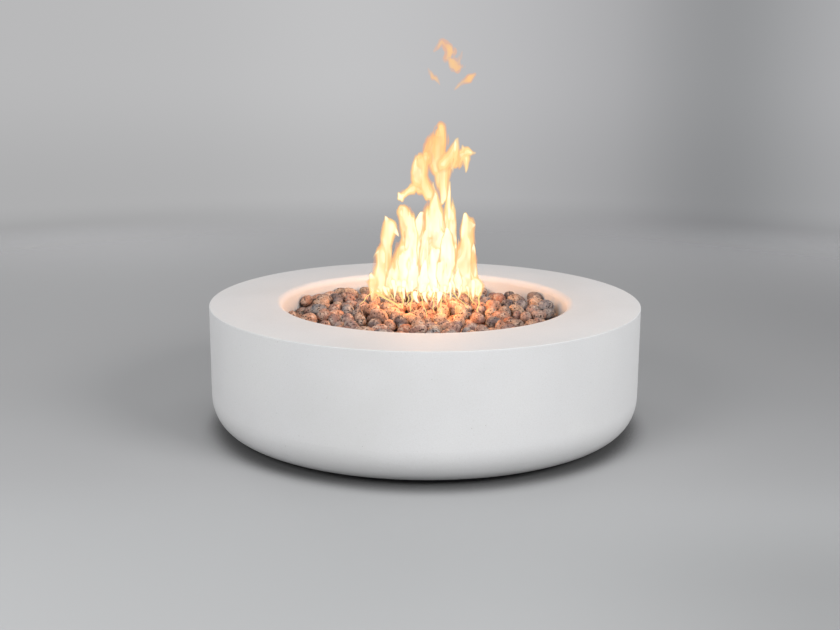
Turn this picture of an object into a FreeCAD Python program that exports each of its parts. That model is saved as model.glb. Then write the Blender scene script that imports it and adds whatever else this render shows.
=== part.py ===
"""Round floor-standing gas fire pit: a glass-fibre-concrete casing with a burner well, its ring burner,
the gas and ignition train behind a hinged access door at the back, and the stones over the burner.

Frame: origin on the floor under the centre, +Z up, front towards -Y, access door and gas inlet towards +Y.
Millimetres.
"""
import FreeCAD, Part
import math
import os
import random

from FreeCAD import Vector

# ---------------------------------------------------------------- casing
casing_radius = 600.0
casing_height = 350.0
foot_height = 12.0        # underside of the casing above the floor
curve_width = 64.0        # bottom edge, radially
curve_height = 88.0       # bottom edge, in height
skin = 22.0               # wall of the casting
rim_thickness = 26.0
arris = 2.5               # eased top outer edge
well_radius = 398.0
well_edge = 18.0          # rounded inner edge of the rim
well_depth = 115.0        # rim down to the ledge that carries the pan
ledge_width = 38.0
foot_width = 36.0         # flat ring under the casing
corner_fill = 8.0         # slope left in the hidden inner corners

# ---------------------------------------------------------------- plinth
pad_height = 3.0
pad_radius = 18.0
plinth_width = 40.0
plinth_setback = 4.0      # behind the casing's flat underside
plinth_fixings = 6
vent_width = 60.0
vent_height = 5.0
vent_first = 0.0          # angles of the first vent, pad and fixing, in degrees
pad_first = 45.0
fixing_first = 15.0
pad_peg_radius = 4.0
pad_peg_height = 3.5
insert_radius = 4.5
insert_length = 14.0
screw_radius = 3.0        # M6
screw_head_radius = 6.0
screw_head_height = 3.3

# ---------------------------------------------------------------- screws into the casting
wall_screw_radius = 2.4
wall_screw_length = 12.0
wall_head_radius = 4.5
wall_head_height = 2.8

# ---------------------------------------------------------------- hose notch and gas inlet
notch_radius = 27.0
notch_spring = 30.0       # height where its round top begins
inlet_height = 34.0
inlet_thread_radius = 10.48   # G 1/2
inlet_thread_length = 26.0
inlet_shank_radius = 10.2
inlet_bore = 6.5
inlet_flats = 27.0
inlet_head = 9.0
inlet_nut_flats = 30.0
inlet_nut_thickness = 6.0
bracket_sheet = 3.0
bracket_width = 100.0
bracket_bottom = 14.0
bracket_top = 56.0
bracket_setback = 3.0     # the foot's inner face curves away behind the flat plate
bracket_screw_spread = 80.0
bracket_screw_height = 23.0
elbow_radius = 10.0
elbow_bend = 14.0
elbow_rise = 24.0
supply_radius = 8.0
supply_bore = 6.0

# ---------------------------------------------------------------- access door
opening_width = 256.0
opening_height = 172.0
opening_centre = 196.0    # height
opening_corner = 10.0
frame_sheet = 2.0
frame_depth = 38.0        # collar of the door frame, radially
flange_width = 18.0
flange_lower = 8.0
door_thickness = 16.0
backing_sheet = 2.0
door_side_gap = 4.0
door_top_gap = 3.0
heel_round = 3.0          # rounded edges on the hinge side
pivot_inset = 9.7         # pivot axis from the door's edge
pivot_depth = 9.3         # pivot axis below the door's outer face
pivot_radius = 3.0
bush_radius = 5.0
bush_length = 14.0
bush_flange = 0.5         # washers are this much larger than the bushes
pin_depth = 12.0          # pins in the door
frame_screw_spread = 100.0
backing_side_margin = 8.0
backing_end_margin = 6.0
backing_screw_radius = 2.0
backing_screw_length = 10.0
backing_head_radius = 4.0
backing_head_height = 1.85
backing_screw_width = 160.0   # between the screws, across and up
backing_screw_spread = 112.0
finger_notch_depth = 10.0
finger_notch_height = 36.0
finger_notch_corner = 6.0

# ---------------------------------------------------------------- controls
control_inset = 90.0      # face of the control plate behind the casing's side
box_sheet = 1.5
box_setback = 4.0         # front of the box behind the door's backing
rivet_radius = 1.6
rivet_head_radius = 3.2
rivet_tail_radius = 2.6
rivet_head_height = 1.2
rivet_edge = 7.7          # from the collar's inner edge
rivet_spread = 52.0
catch_width = 12.0
catch_depth = 14.0
catch_height = 22.0
catch_spread = 112.0
catch_reach = 0.8         # magnets short of the door's backing
pipe_inset = 44.0         # pipes and valves behind the control plate
valve_x = -66.0
valve_z = 186.0
valve_block = 44.0
valve_half_depth = 14.0   # behind the pipes' line
valve_front_gap = 2.5     # block behind the plate
valve_chamfer = 4.0
neck_radius = 7.0
valve_nut_flats = 19.0
valve_nut_thickness = 4.0
boss_radius = 9.0
boss_height = 8.0
tap_spread = 24.0         # between the pilot's tap and the thermocouple's
tap_rise = 12.0
tap_length = 6.0
pilot_tap_radius = 4.0
sensor_tap_radius = 4.5
knob_radius = 22.0
knob_gap = 8.0            # knob off the plate
knob_stroke = 4.5
knob_skirt = 7.0
knob_height = 18.0
knob_wall = 5.0
grip_width = 12.0
grip_round = 3.0
pointer_width = 2.0
pointer_depth = 1.0
pointer_start = 4.0       # from the knob's centre
spindle_radius = 4.0
spindle_flat = 2.6        # from the spindle's axis
spindle_grip = 14.0       # length in the knob
push_rod_radius = 2.5
push_rod_length = 16.0
shutoff_z = 180.0
cock_flats = 24.0
cock_half = 30.0
cock_end = 12.0           # length of each hexagonal end
barrel_radius = 13.0
cock_neck_radius = 11.0
bonnet_radius = 8.0
bonnet_hole = 6.0
plug_radius = 8.0
plug_half = 10.0
plug_bore = 5.5
gas_bore = 6.0
lever_gap = 6.0           # lever off the plate
lever_length = 60.0
lever_width = 13.0
lever_sheet = 4.0
lever_hub_radius = 9.0
lever_nut_flats = 11.0
lever_nut_thickness = 4.0
igniter_x = 62.0
igniter_z = 150.0
igniter_length = 68.0
igniter_radius = 13.0
igniter_collar = 15.0
igniter_neck = 11.0
igniter_neck_length = 7.0
igniter_nut_flats = 26.0
igniter_terminal = 6.0
button_radius = 8.5
button_height = 6.0
button_depth = 10.0       # of the bore, behind the plate
button_travel = 5.0
link_radius = 5.0
link_rise = 46.0          # over the control valve's top boss

# ---------------------------------------------------------------- pan and burner
pan_clearance = 10.0      # pan to well wall
pan_sheet = 2.5
pan_lip = 25.0
pan_drain_circle = 300.0
pan_drains = 8
granule_depth = 24.5
burner_ring_radius = 143.0
burner_tube_radius = 9.5
burner_wall = 1.2
burner_flats = 36         # the ring is rolled in short flats, each with a port
spoke_ports = 4           # on each half of a spoke
spoke_radius = 8.0
port_radius = 1.4
hub_radius = 16.0
nipple_radius = 10.7
nipple_bore = 8.0
nipple_below = 27.0       # its end below the pan
nipple_in_hub = 5.5
pan_nut_flats = 29.0
pan_nut_thickness = 8.0
leg_radius = 5.0
shield_radius = 105.0
shield_sheet = 1.5
shield_dish = 12.0
mixer_radius = 11.0
mixer_wall = 2.0
mixer_length = 56.0
mixer_drop = 28.0         # gas line below the elbow's top
mixer_start = 30.0
air_hole_radius = 4.0
air_hole_place = 22.0     # from the orifice's end
fitting_radius = 14.0
fitting_bend = 16.0
jet_radius = 1.0
spud_flats = 19.0
spud_head = 9.0
spud_depth = 10.0
hose_radius = 6.0
hose_nut_flats = 17.0
hose_nut_at_valve = 10.0
hose_nut_at_spud = 12.0

# ---------------------------------------------------------------- pilot
pilot_offset = 40.0       # behind the ring
pilot_burner_x = -11.0
sensor_x = 8.0
electrode_x = 0.0
electrode_forward = 7.0
pilot_radius = 4.0
pilot_collar = 6.0
sensor_radius = 2.8
tip_radius = 1.8
sleeve_radius = 2.5
wire_radius = 0.9
below_shelf = 10.0        # length of the three under their shelf
pilot_half = 24.0
pilot_sheet = 1.5
pilot_foot = 20.0
hood_width = 62.0
hood_height = 49.0
hood_sheet = 1.2
hood_before = 27.0        # from the hood's front to the pilot
hood_window = 38.0
hood_vent = 5.0
lead_radius = 2.0
lead_drop = 15.0          # leads below the ledge
clip_inset = 8.0          # clip inside the well's wall
clip_margin = 7.0
clip_width = 10.0

# ---------------------------------------------------------------- stones
stone_pitch = 46.0        # from one ring of stones to the next
stone_width = 50.0
stone_height = 38.0
stone_gap = 2.0
stone_sides = 6
stone_seed = 11

# ---------------------------------------------------------------- fits
seat_gap = 0.3            # pieces that lie against each other
running_gap = 0.05        # shafts and pins in their bores
hole_gap = 0.3            # necks and countersunk screws in their holes
screw_gap = 0.2           # screws and pegs through sheet

# ---------------------------------------------------------------- worked out from the above
ledge_top = casing_height - well_depth
ledge_bottom = ledge_top - skin
well_back = well_radius + skin
inner_side = casing_radius - skin
curve_centre = casing_radius - curve_width
foot_inner = curve_centre - foot_width
foot_top = foot_height + skin
plinth_outer = curve_centre - plinth_setback
plinth_inner = plinth_outer - plinth_width
fixing_circle = curve_centre - foot_width / 2
pad_circle = (plinth_inner + plinth_outer) / 2
bracket_front = foot_inner - seat_gap - bracket_setback
bracket_screw_places = (-bracket_screw_spread / 2, bracket_screw_spread / 2)
inlet_tail = bracket_front - bracket_sheet
control_face = casing_radius - control_inset
pipe_y = control_face - pipe_inset
pan_floor = ledge_top + pan_sheet
granule_top = pan_floor + granule_depth
burner_z = granule_top + seat_gap + burner_tube_radius
hub_top = burner_z + 14.0
opening_bottom = opening_centre - opening_height / 2
collar_width = opening_width - 2 * seat_gap
collar_height = opening_height - 2 * seat_gap
inside_width = collar_width - 2 * frame_sheet
inside_height = collar_height - 2 * frame_sheet
door_width = inside_width - 2 * door_side_gap
door_height = inside_height - 2 * door_top_gap
door_inner = casing_radius - door_thickness
backing_outer = door_inner - seat_gap
backing_inner = backing_outer - backing_sheet
box_front = backing_inner - box_setback
pivot_x = -door_width / 2 + pivot_inset
pivot_y = math.sqrt((casing_radius - pivot_depth) ** 2 - pivot_x ** 2)
frame_screw_turn = math.degrees(math.asin((opening_width + flange_width) / 2 / inner_side))
frame_screw_places = [
    (90 + side * frame_screw_turn, opening_centre + end * frame_screw_spread / 2)
    for side in (-1, 1)
    for end in (-1, 1)
]
rivet_y = math.sqrt((casing_radius - frame_depth) ** 2 - (collar_width / 2) ** 2) + rivet_edge
rivet_places = [
    (side, opening_centre + end * rivet_spread / 2) for side in (-1, 1) for end in (-1, 1)
]
backing_screw_places = [
    (side * backing_screw_width / 2, opening_centre + end * backing_screw_spread / 2)
    for side in (-1, 1)
    for end in (-1, 1)
]
valve_back = pipe_y - valve_half_depth
valve_front = control_face - box_sheet - valve_front_gap
spindle_start = pipe_y + valve_half_depth
knob_back = control_face + knob_gap
spindle_end = knob_back + spindle_grip
pilot_tap_x = valve_x - tap_spread / 2
sensor_tap_x = valve_x + tap_spread / 2
tap_z = valve_z + tap_rise
bonnet_end = control_face - box_sheet - seat_gap
lever_back = control_face + lever_gap
igniter_back = control_face - box_sheet - igniter_length
igniter_front = control_face + igniter_neck_length
shield_top = ledge_top - seat_gap - pan_nut_thickness
elbow_top = shield_top - shield_sheet - seat_gap
nipple_bottom = ledge_top - nipple_below
mixer_z = elbow_top - mixer_drop
mixer_end = mixer_start + mixer_length
pilot_y = burner_ring_radius + pilot_offset
hood_front = pilot_y - hood_before
shelf_z = granule_top - pilot_sheet
lead_z = ledge_bottom - lead_drop
lead_turn_y = valve_back - 32.0   # where the pilot's leads turn inwards, and where they come together
lead_end_y = pilot_y + 60.0
clip_y = well_radius - clip_inset

UP = Vector(0, 0, 1)
BACK = Vector(0, 1, 0)
RIGHT = Vector(1, 0, 0)
ORIGIN = Vector(0, 0, 0)


# ================================================================ helpers
def rod(radius, start, end):
    """A round bar between two points."""
    run = end - start
    return Part.makeCylinder(radius, run.Length, start, run)


def tube(outer, inner, start, end):
    return rod(outer, start, end).cut(rod(inner, start, end))


def block(low, high):
    size = high - low
    return Part.makeBox(size.x, size.y, size.z, low)


def hexagon(across_flats, start, end):
    """A hexagonal bar between two points."""
    run = end - start
    side = Part.makePolygon(
        [
            Vector(
                across_flats / math.sqrt(3) * math.cos(math.radians(60 * i)),
                across_flats / math.sqrt(3) * math.sin(math.radians(60 * i)),
                0,
            )
            for i in range(7)
        ]
    )
    bar = Part.Face(side).extrude(Vector(0, 0, run.Length))
    bar.Placement = FreeCAD.Placement(start, FreeCAD.Rotation(UP, run))
    return bar


def nut(across_flats, bore, start, end):
    return hexagon(across_flats, start, end).cut(rod(bore, start, end))


def rounded_corner(start, corner, end):
    """A quarter circle or quarter ellipse that is tangent to both lines through the corner."""
    centre = start + end - corner
    first, second = start - centre, end - centre
    if abs(first.Length - second.Length) < 1e-6:
        middle = centre + (corner - centre) * math.sqrt(0.5)
        return Part.Arc(start, middle, end).toShape()
    if first.Length < second.Length:
        first, second = second, first
    ellipse = Part.Ellipse(centre + first, centre + second, centre)
    return Part.ArcOfEllipse(ellipse, 0, math.pi / 2).toShape()


def turned(points):
    """A solid of revolution about Z. Each point is (radius, height); a pair of points in one tuple is a
    rounded corner, given as its sharp corner and its end."""
    edges = []
    here = first = Vector(points[0][0], 0, points[0][1])
    for point in points[1:]:
        if isinstance(point[0], tuple):
            corner = Vector(point[0][0], 0, point[0][1])
            there = Vector(point[1][0], 0, point[1][1])
            edges.append(rounded_corner(here, corner, there))
        else:
            there = Vector(point[0], 0, point[1])
            edges.append(Part.LineSegment(here, there).toShape())
        here = there
    edges.append(Part.LineSegment(here, first).toShape())
    outline = Part.Wire(Part.__sortEdges__(edges))
    return Part.Face(outline).revolve(ORIGIN, UP, 360)


def turned_back(radii_and_depths, x, z):
    """A solid of revolution about a line along Y through (x, z)."""
    shape = turned(radii_and_depths)
    shape.rotate(ORIGIN, RIGHT, -90)
    shape.translate(Vector(x, 0, z))
    return shape


def round_window(width, height, corner, start, end, centre_z, centre_x=0.0):
    """A bar along Y with a rounded rectangular section."""
    bar = block(
        Vector(centre_x - width / 2, start, centre_z - height / 2),
        Vector(centre_x + width / 2, end, centre_z + height / 2),
    )
    if corner <= 0:
        return bar
    along = [e for e in bar.Edges if abs(e.Vertexes[0].Point.y - e.Vertexes[-1].Point.y) > 1]
    return bar.makeFillet(corner, along)


def wall_band(inner, outer, bottom, top):
    """A ring, for cutting pieces that follow the casing's side."""
    return tube(outer, inner, Vector(0, 0, bottom), Vector(0, 0, top)).cut(
        block(Vector(-outer, -outer, bottom), Vector(outer, 0, top))
    )


def at_angle(shape, degrees):
    turned_copy = shape.copy()
    turned_copy.rotate(ORIGIN, UP, degrees)
    return turned_copy


def around(shape, count, first=0.0):
    return [at_angle(shape, first + 360.0 * i / count) for i in range(count)]


def joined(shapes):
    return shapes[0].multiFuse(shapes[1:]).removeSplitter() if len(shapes) > 1 else shapes[0]


def bent(points, radius, bore=0.0, name="", bends=None):
    """A round tube along straight runs joined by tangent arcs. An arc is as large as its runs allow, unless
    bends gives its radius."""
    edges, here, radii = [], points[0], []
    for i in range(1, len(points) - 1):
        before, after = points[i - 1] - points[i], points[i + 1] - points[i]
        half = (math.pi - before.getAngle(after)) / 2
        setback = 0.45 * min(before.Length, after.Length)
        if bends:
            setback = bends * math.tan(half)
        radii.append(round(setback / math.tan(half), 1))
        before.normalize()
        after.normalize()
        start, end = points[i] + before * setback, points[i] + after * setback
        bisector = before + after
        bisector.normalize()
        arc_radius = setback / math.tan(half)
        centre = points[i] + bisector * (arc_radius / math.cos(half))
        middle = centre - bisector * arc_radius
        edges.append(Part.LineSegment(here, start).toShape())
        edges.append(Part.Arc(start, middle, end).toShape())
        here = end
    edges.append(Part.LineSegment(here, points[-1]).toShape())
    path = Part.Wire(edges)
    run = points[1] - points[0]
    outer = path.makePipeShell([Part.Wire(Part.makeCircle(radius, points[0], run))], True, False)
    length = path.Length
    if name:
        wanted = math.pi * radius ** 2 * length
        ratio = round(outer.Volume / wanted, 4)
        print(name, "radii", radii, "length", round(length, 1), "volume ratio", ratio)
    if bore:
        outer = outer.cut(path.makePipeShell([Part.Wire(Part.makeCircle(bore, points[0], run))], True, False))
    return outer


def notch_cut(start, end):
    """The arched hose notch at the back, as a bar along Y."""
    return joined(
        [
            block(Vector(-notch_radius, start, -1), Vector(notch_radius, end, notch_spring)),
            rod(notch_radius, Vector(0, start, notch_spring), Vector(0, end, notch_spring)),
        ]
    )


def radial_rod(radius, start, end, height, degrees):
    """A round bar that points away from the centre. 90 degrees is the back."""
    return at_angle(rod(radius, Vector(start, 0, height), Vector(end, 0, height)), degrees)


# ================================================================ casing and plinth
def concrete_casing():
    """Rim, well, ledge, side and foot are one casting, hollow from below."""
    shape = turned(
        [
            (foot_inner, foot_height),
            (curve_centre, foot_height),
            ((casing_radius, foot_height), (casing_radius, foot_height + curve_height)),
            (casing_radius, casing_height - arris),
            ((casing_radius, casing_height), (casing_radius - arris, casing_height)),
            (well_radius + well_edge, casing_height),
            ((well_radius, casing_height), (well_radius, casing_height - well_edge)),
            (well_radius, ledge_top),
            (well_radius - ledge_width, ledge_top),
            (well_radius - ledge_width, ledge_bottom),
            (well_back, ledge_bottom),
            (well_back, casing_height - rim_thickness - corner_fill),
            (well_back + corner_fill, casing_height - rim_thickness),
            (inner_side - corner_fill, casing_height - rim_thickness),
            (inner_side, casing_height - rim_thickness - corner_fill),
            (inner_side, foot_height + curve_height),
            (inner_side - 0.12 * curve_width, foot_height + 0.62 * curve_height),
            (curve_centre + 0.25 * curve_width, foot_top + 8.0),
            (curve_centre, foot_top),
            (foot_inner, foot_top),
        ]
    )
    cuts = [
        round_window(
            opening_width,
            opening_height,
            opening_corner,
            control_face,
            casing_radius + 10,
            opening_centre,
        ),
        notch_cut(foot_inner - 20, casing_radius + 10),
    ]
    hole = rod(
        insert_radius + 2 * running_gap,
        Vector(fixing_circle, 0, foot_height),
        Vector(fixing_circle, 0, foot_height + insert_length + 1),
    )
    cuts += around(hole, plinth_fixings, fixing_first)
    for degrees, height in frame_screw_places:
        cuts.append(
            radial_rod(
                wall_screw_radius + running_gap,
                inner_side - 5,
                inner_side + wall_screw_length,
                height,
                degrees,
            )
        )
    for x in bracket_screw_places:
        cuts.append(
            rod(
                wall_screw_radius + running_gap,
                Vector(x, foot_inner - 20, bracket_screw_height),
                Vector(x, foot_inner + wall_screw_length, bracket_screw_height),
            )
        )
    return shape.cut(cuts)


def plinth_ring():
    """Rolled flat steel under the foot, open at the hose notch, with vent gaps and countersunk holes."""
    shape = tube(plinth_outer, plinth_inner, Vector(0, 0, pad_height), Vector(0, 0, foot_height))
    vent = block(
        Vector(plinth_inner - 5, -vent_width / 2, 0),
        Vector(plinth_outer + 5, vent_width / 2, pad_height + vent_height),
    )
    hole = rod(
        screw_radius + hole_gap,
        Vector(fixing_circle, 0, 0),
        Vector(fixing_circle, 0, foot_height + 1),
    )
    sink = Part.makeCone(
        screw_head_radius + hole_gap,
        screw_radius + hole_gap,
        screw_head_height,
        Vector(fixing_circle, 0, pad_height),
    )
    peg = rod(
        pad_peg_radius + screw_gap,
        Vector(pad_circle, 0, 0),
        Vector(pad_circle, 0, pad_height + pad_peg_height + seat_gap),
    )
    cuts = around(vent, plinth_fixings, vent_first)
    cuts += around(hole, plinth_fixings, fixing_first)
    cuts += around(sink, plinth_fixings, fixing_first)
    cuts += around(peg, plinth_fixings, pad_first)
    cuts.append(notch_cut(plinth_inner - 20, plinth_outer + 20))
    return shape.cut(cuts)


def plinth_pads():
    """Rubber pads, each held by its peg."""
    pad = joined(
        [
            rod(pad_radius, Vector(pad_circle, 0, 0), Vector(pad_circle, 0, pad_height)),
            rod(
                pad_peg_radius,
                Vector(pad_circle, 0, pad_height - 1),
                Vector(pad_circle, 0, pad_height + pad_peg_height),
            ),
        ]
    )
    return Part.makeCompound(around(pad, plinth_fixings, pad_first))


def foot_inserts():
    """Brass threaded inserts in the casing's foot."""
    sleeve = tube(
        insert_radius,
        screw_radius + running_gap,
        Vector(fixing_circle, 0, foot_height),
        Vector(fixing_circle, 0, foot_height + insert_length),
    )
    return Part.makeCompound(around(sleeve, plinth_fixings, fixing_first))


def plinth_screws():
    base = Vector(fixing_circle, 0, pad_height)
    screw = joined(
        [
            Part.makeCone(screw_head_radius, screw_radius, screw_head_height, base),
            rod(screw_radius, base, base + UP * (foot_height - pad_height + insert_length - 1)),
        ]
    )
    return Part.makeCompound(around(screw, plinth_fixings, fixing_first))


# ================================================================ gas inlet
def inlet_bracket():
    """Plate across the hose notch, on the inner face of the foot."""
    shape = block(
        Vector(-bracket_width / 2, bracket_front - bracket_sheet, bracket_bottom),
        Vector(bracket_width / 2, bracket_front, bracket_top),
    )
    through = BACK * (3 * bracket_sheet)
    middle = Vector(0, bracket_front, inlet_height)
    holes = [rod(inlet_shank_radius + screw_gap, middle - through, middle + through)]
    for x in bracket_screw_places:
        middle = Vector(x, bracket_front, bracket_screw_height)
        holes.append(rod(wall_screw_radius + screw_gap, middle - through, middle + through))
    return shape.cut(holes)


def inlet_bracket_screws():
    screws = []
    for x in bracket_screw_places:
        head = Vector(x, bracket_front - bracket_sheet, bracket_screw_height)
        screws.append(
            joined(
                [
                    rod(wall_head_radius, head - BACK * wall_head_height, head),
                    rod(wall_screw_radius, head - BACK, head + BACK * (bracket_sheet + wall_screw_length)),
                ]
            )
        )
    return Part.makeCompound(screws)


def inlet_fitting():
    """Bulkhead fitting with a male G 1/2 thread that points out of the hose notch."""
    centre = Vector(0, 0, inlet_height)
    thread_start = bracket_front + inlet_nut_thickness + 1.0
    shape = joined(
        [
            hexagon(
                inlet_flats, centre + BACK * (inlet_tail - inlet_head), centre + BACK * inlet_tail
            ),
            rod(inlet_shank_radius, centre + BACK * (inlet_tail - 1.0), centre + BACK * thread_start),
            rod(
                inlet_thread_radius,
                centre + BACK * thread_start,
                centre + BACK * (thread_start + inlet_thread_length),
            ),
        ]
    )
    bore = rod(
        inlet_bore,
        centre + BACK * (inlet_tail - inlet_head - 1.0),
        centre + BACK * (thread_start + inlet_thread_length + 1.0),
    )
    return shape.cut(bore)


def inlet_locknut():
    centre = Vector(0, bracket_front, inlet_height)
    return nut(
        inlet_nut_flats,
        inlet_shank_radius + running_gap,
        centre,
        centre + BACK * inlet_nut_thickness,
    )


def supply_elbow():
    """Turns the gas line up behind the inlet."""
    start = Vector(0, inlet_tail - inlet_head, inlet_height)
    corner = Vector(0, pipe_y, inlet_height)
    points = [start, corner, corner + UP * elbow_rise]
    return bent(points, elbow_radius, name="supply_elbow", bends=elbow_bend)


def supply_pipe():
    start = Vector(0, pipe_y, inlet_height + elbow_rise)
    return tube(supply_radius, supply_bore, start, Vector(0, pipe_y, shutoff_z - cock_half))


# ================================================================ access door
def frame_section(width, height, corner, depth=frame_depth):
    return round_window(
        width,
        height,
        corner,
        casing_radius - depth - 30,
        casing_radius + 5,
        opening_centre,
    )


def door_frame():
    """Folded steel collar through the casing's wall, with a flange screwed to its inner face."""
    collar = frame_section(collar_width, collar_height, opening_corner - seat_gap).common(
        wall_band(casing_radius - frame_depth, casing_radius - 1.5, 60, casing_height)
    )
    flange_top = opening_centre + opening_height / 2 + flange_width
    flange = block(
        Vector(-opening_width / 2 - flange_width, 1, opening_bottom - flange_lower),
        Vector(opening_width / 2 + flange_width, casing_radius, flange_top),
    ).common(wall_band(inner_side - seat_gap - frame_sheet, inner_side - seat_gap, 60, casing_height))
    shape = joined([collar, flange])
    cuts = [frame_section(inside_width, inside_height, opening_corner - seat_gap - frame_sheet)]
    for degrees, height in frame_screw_places:
        cuts.append(
            radial_rod(wall_screw_radius + screw_gap, inner_side - 9, inner_side + 5, height, degrees)
        )
    for x, height in rivet_places:
        cuts.append(
            rod(
                rivet_radius + running_gap,
                Vector(x * (inside_width / 2 - 5), rivet_y, height),
                Vector(x * (inside_width / 2 + 5), rivet_y, height),
            )
        )
    pivot = Vector(pivot_x, pivot_y, opening_centre)
    reach = UP * opening_height
    cuts.append(rod(pivot_radius + running_gap, pivot - reach * 0.6, pivot + reach * 0.6))
    return shape.cut(cuts)


def door_frame_screws():
    screws = []
    for degrees, height in frame_screw_places:
        head = inner_side - seat_gap - frame_sheet
        screws.append(
            joined(
                [
                    radial_rod(wall_head_radius, head - wall_head_height, head, height, degrees),
                    radial_rod(
                        wall_screw_radius,
                        head - 1,
                        inner_side + wall_screw_length - 1,
                        height,
                        degrees,
                    ),
                ]
            )
        )
    return Part.makeCompound(screws)


def control_box():
    """Open-fronted sheet box inside the door frame's collar. Its back carries the controls."""
    outer_width = inside_width - 2 * seat_gap
    outer_height = inside_height - 2 * seat_gap
    corner = opening_corner - seat_gap - frame_sheet - seat_gap
    back = control_face - box_sheet
    outer = round_window(outer_width, outer_height, corner, back, casing_radius, opening_centre)
    inner = round_window(
        outer_width - 2 * box_sheet,
        outer_height - 2 * box_sheet,
        corner - box_sheet,
        control_face,
        casing_radius + 1,
        opening_centre,
    )
    shape = outer.cut(inner).cut(tube(casing_radius * 2, box_front, ORIGIN, UP * casing_height))
    holes = [
        rod(radius, Vector(x, back - 5, z), Vector(x, back + 9, z))
        for radius, x, z in (
            (neck_radius + hole_gap, valve_x, valve_z),
            (bonnet_hole, 0, shutoff_z),
            (igniter_neck + hole_gap, igniter_x, igniter_z),
        )
    ]
    for side, height in rivet_places:
        holes.append(
            rod(
                rivet_radius + running_gap,
                Vector(side * (outer_width / 2 - 5), rivet_y, height),
                Vector(side * (outer_width / 2 + 5), rivet_y, height),
            )
        )
    return shape.cut(holes)


def control_box_rivets():
    """Blind rivets through the box and the collar."""
    rivets = []
    inside = inside_width / 2 - seat_gap - box_sheet
    for side, height in rivet_places:
        inner_end = Vector(side * (inside - rivet_head_height), rivet_y, height)
        outer_end = Vector(side * (collar_width / 2 + rivet_head_height), rivet_y, height)
        middle = Vector(side * inside, rivet_y, height)
        collar_face = Vector(side * collar_width / 2, rivet_y, height)
        rivets.append(
            joined(
                [
                    rod(rivet_head_radius, inner_end, middle),
                    rod(rivet_radius, inner_end, outer_end),
                    rod(rivet_tail_radius, collar_face, outer_end),
                ]
            )
        )
    return Part.makeCompound(rivets)


def door_section(width_less=0.0, height_less=0.0):
    return round_window(
        door_width - width_less,
        door_height - height_less,
        opening_corner - door_side_gap,
        control_face,
        casing_radius + 5,
        opening_centre,
    )


def finger_notch():
    return round_window(
        finger_notch_depth * 2,
        finger_notch_height,
        finger_notch_corner,
        control_face,
        casing_radius + 9,
        opening_centre,
        door_width / 2,
    )


def door_panel():
    """Concrete panel, flush with the casing, with rounded edges beside its pivots."""
    shape = door_section().common(wall_band(door_inner, casing_radius, 60, casing_height))
    heel = [
        e
        for e in shape.Edges
        if abs(e.BoundBox.XMax + door_width / 2) < 0.01
        and abs(e.BoundBox.XMin + door_width / 2) < 0.01
        and e.BoundBox.ZLength > door_height / 2
    ]
    shape = shape.makeFillet(heel_round, heel)
    cuts = [finger_notch()]
    for end in (-1, 1):
        face = Vector(pivot_x, pivot_y, opening_centre + end * door_height / 2)
        cuts.append(rod(bush_radius, face + UP * end, face - UP * (end * bush_length)))
    for x, height in backing_screw_places:
        cuts.append(backing_screw(x, height, backing_screw_radius + running_gap))
    return shape.cut(cuts)


def backing_screw(x, height, radius):
    start = Vector(x, math.sqrt(backing_inner ** 2 - x ** 2), height)
    outward = Vector(x, start.y, 0)
    outward.normalize()
    return rod(radius, start - outward, start + outward * backing_screw_length)


def door_backing():
    """Steel sheet behind the panel. The magnets hold it."""
    shape = door_section(2 * backing_side_margin, 2 * backing_end_margin).common(
        wall_band(backing_inner, backing_outer, 60, casing_height)
    )
    cuts = [backing_screw(x, z, backing_screw_radius + running_gap) for x, z in backing_screw_places]
    return shape.cut(cuts + [finger_notch()])


def backing_screws():
    screws = []
    for x, height in backing_screw_places:
        start = Vector(x, math.sqrt(backing_inner ** 2 - x ** 2), height)
        outward = Vector(x, start.y, 0)
        outward.normalize()
        near = start - outward * seat_gap
        head = rod(backing_head_radius, near - outward * backing_head_height, near)
        screws.append(joined([head, backing_screw(x, height, backing_screw_radius)]))
    return Part.makeCompound(screws)


def pivot_bushes():
    """Brass bushes in the top and bottom of the door panel."""
    bushes = []
    for end in (-1, 1):
        face = Vector(pivot_x, pivot_y, opening_centre + end * door_height / 2)
        bushes.append(
            tube(bush_radius, pivot_radius + running_gap, face - UP * (end * bush_length), face)
        )
    return Part.makeCompound(bushes)


def pivot_pins():
    """Pins pressed into the frame's collar, above and below the door."""
    pins = []
    for end in (-1, 1):
        collar_face = Vector(pivot_x, pivot_y, opening_centre + end * collar_height / 2)
        inner_end = Vector(pivot_x, pivot_y, opening_centre + end * (door_height / 2 - pin_depth))
        pins.append(rod(pivot_radius, inner_end, collar_face))
    return Part.makeCompound(pins)


def pivot_washers():
    """Nylon washers on the pins. The lower one carries the door."""
    washers = []
    for end in (-1, 1):
        face = Vector(pivot_x, pivot_y, opening_centre + end * inside_height / 2)
        washers.append(
            tube(
                bush_radius + bush_flange,
                pivot_radius + running_gap,
                face,
                face - UP * (end * (door_top_gap - seat_gap)),
            )
        )
    return Part.makeCompound(washers)


def magnet_catches():
    """Magnets in holders on the box's side, facing the door's steel backing."""
    outer_x = inside_width / 2 - seat_gap - box_sheet - seat_gap
    front = math.sqrt((backing_inner - catch_reach) ** 2 - outer_x ** 2)
    catches = []
    for end in (-1, 1):
        height = opening_centre + end * catch_spread / 2
        catches.append(
            block(
                Vector(outer_x - catch_width, front - catch_depth, height - catch_height / 2),
                Vector(outer_x, front, height + catch_height / 2),
            )
        )
    return Part.makeCompound(catches)


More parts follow.
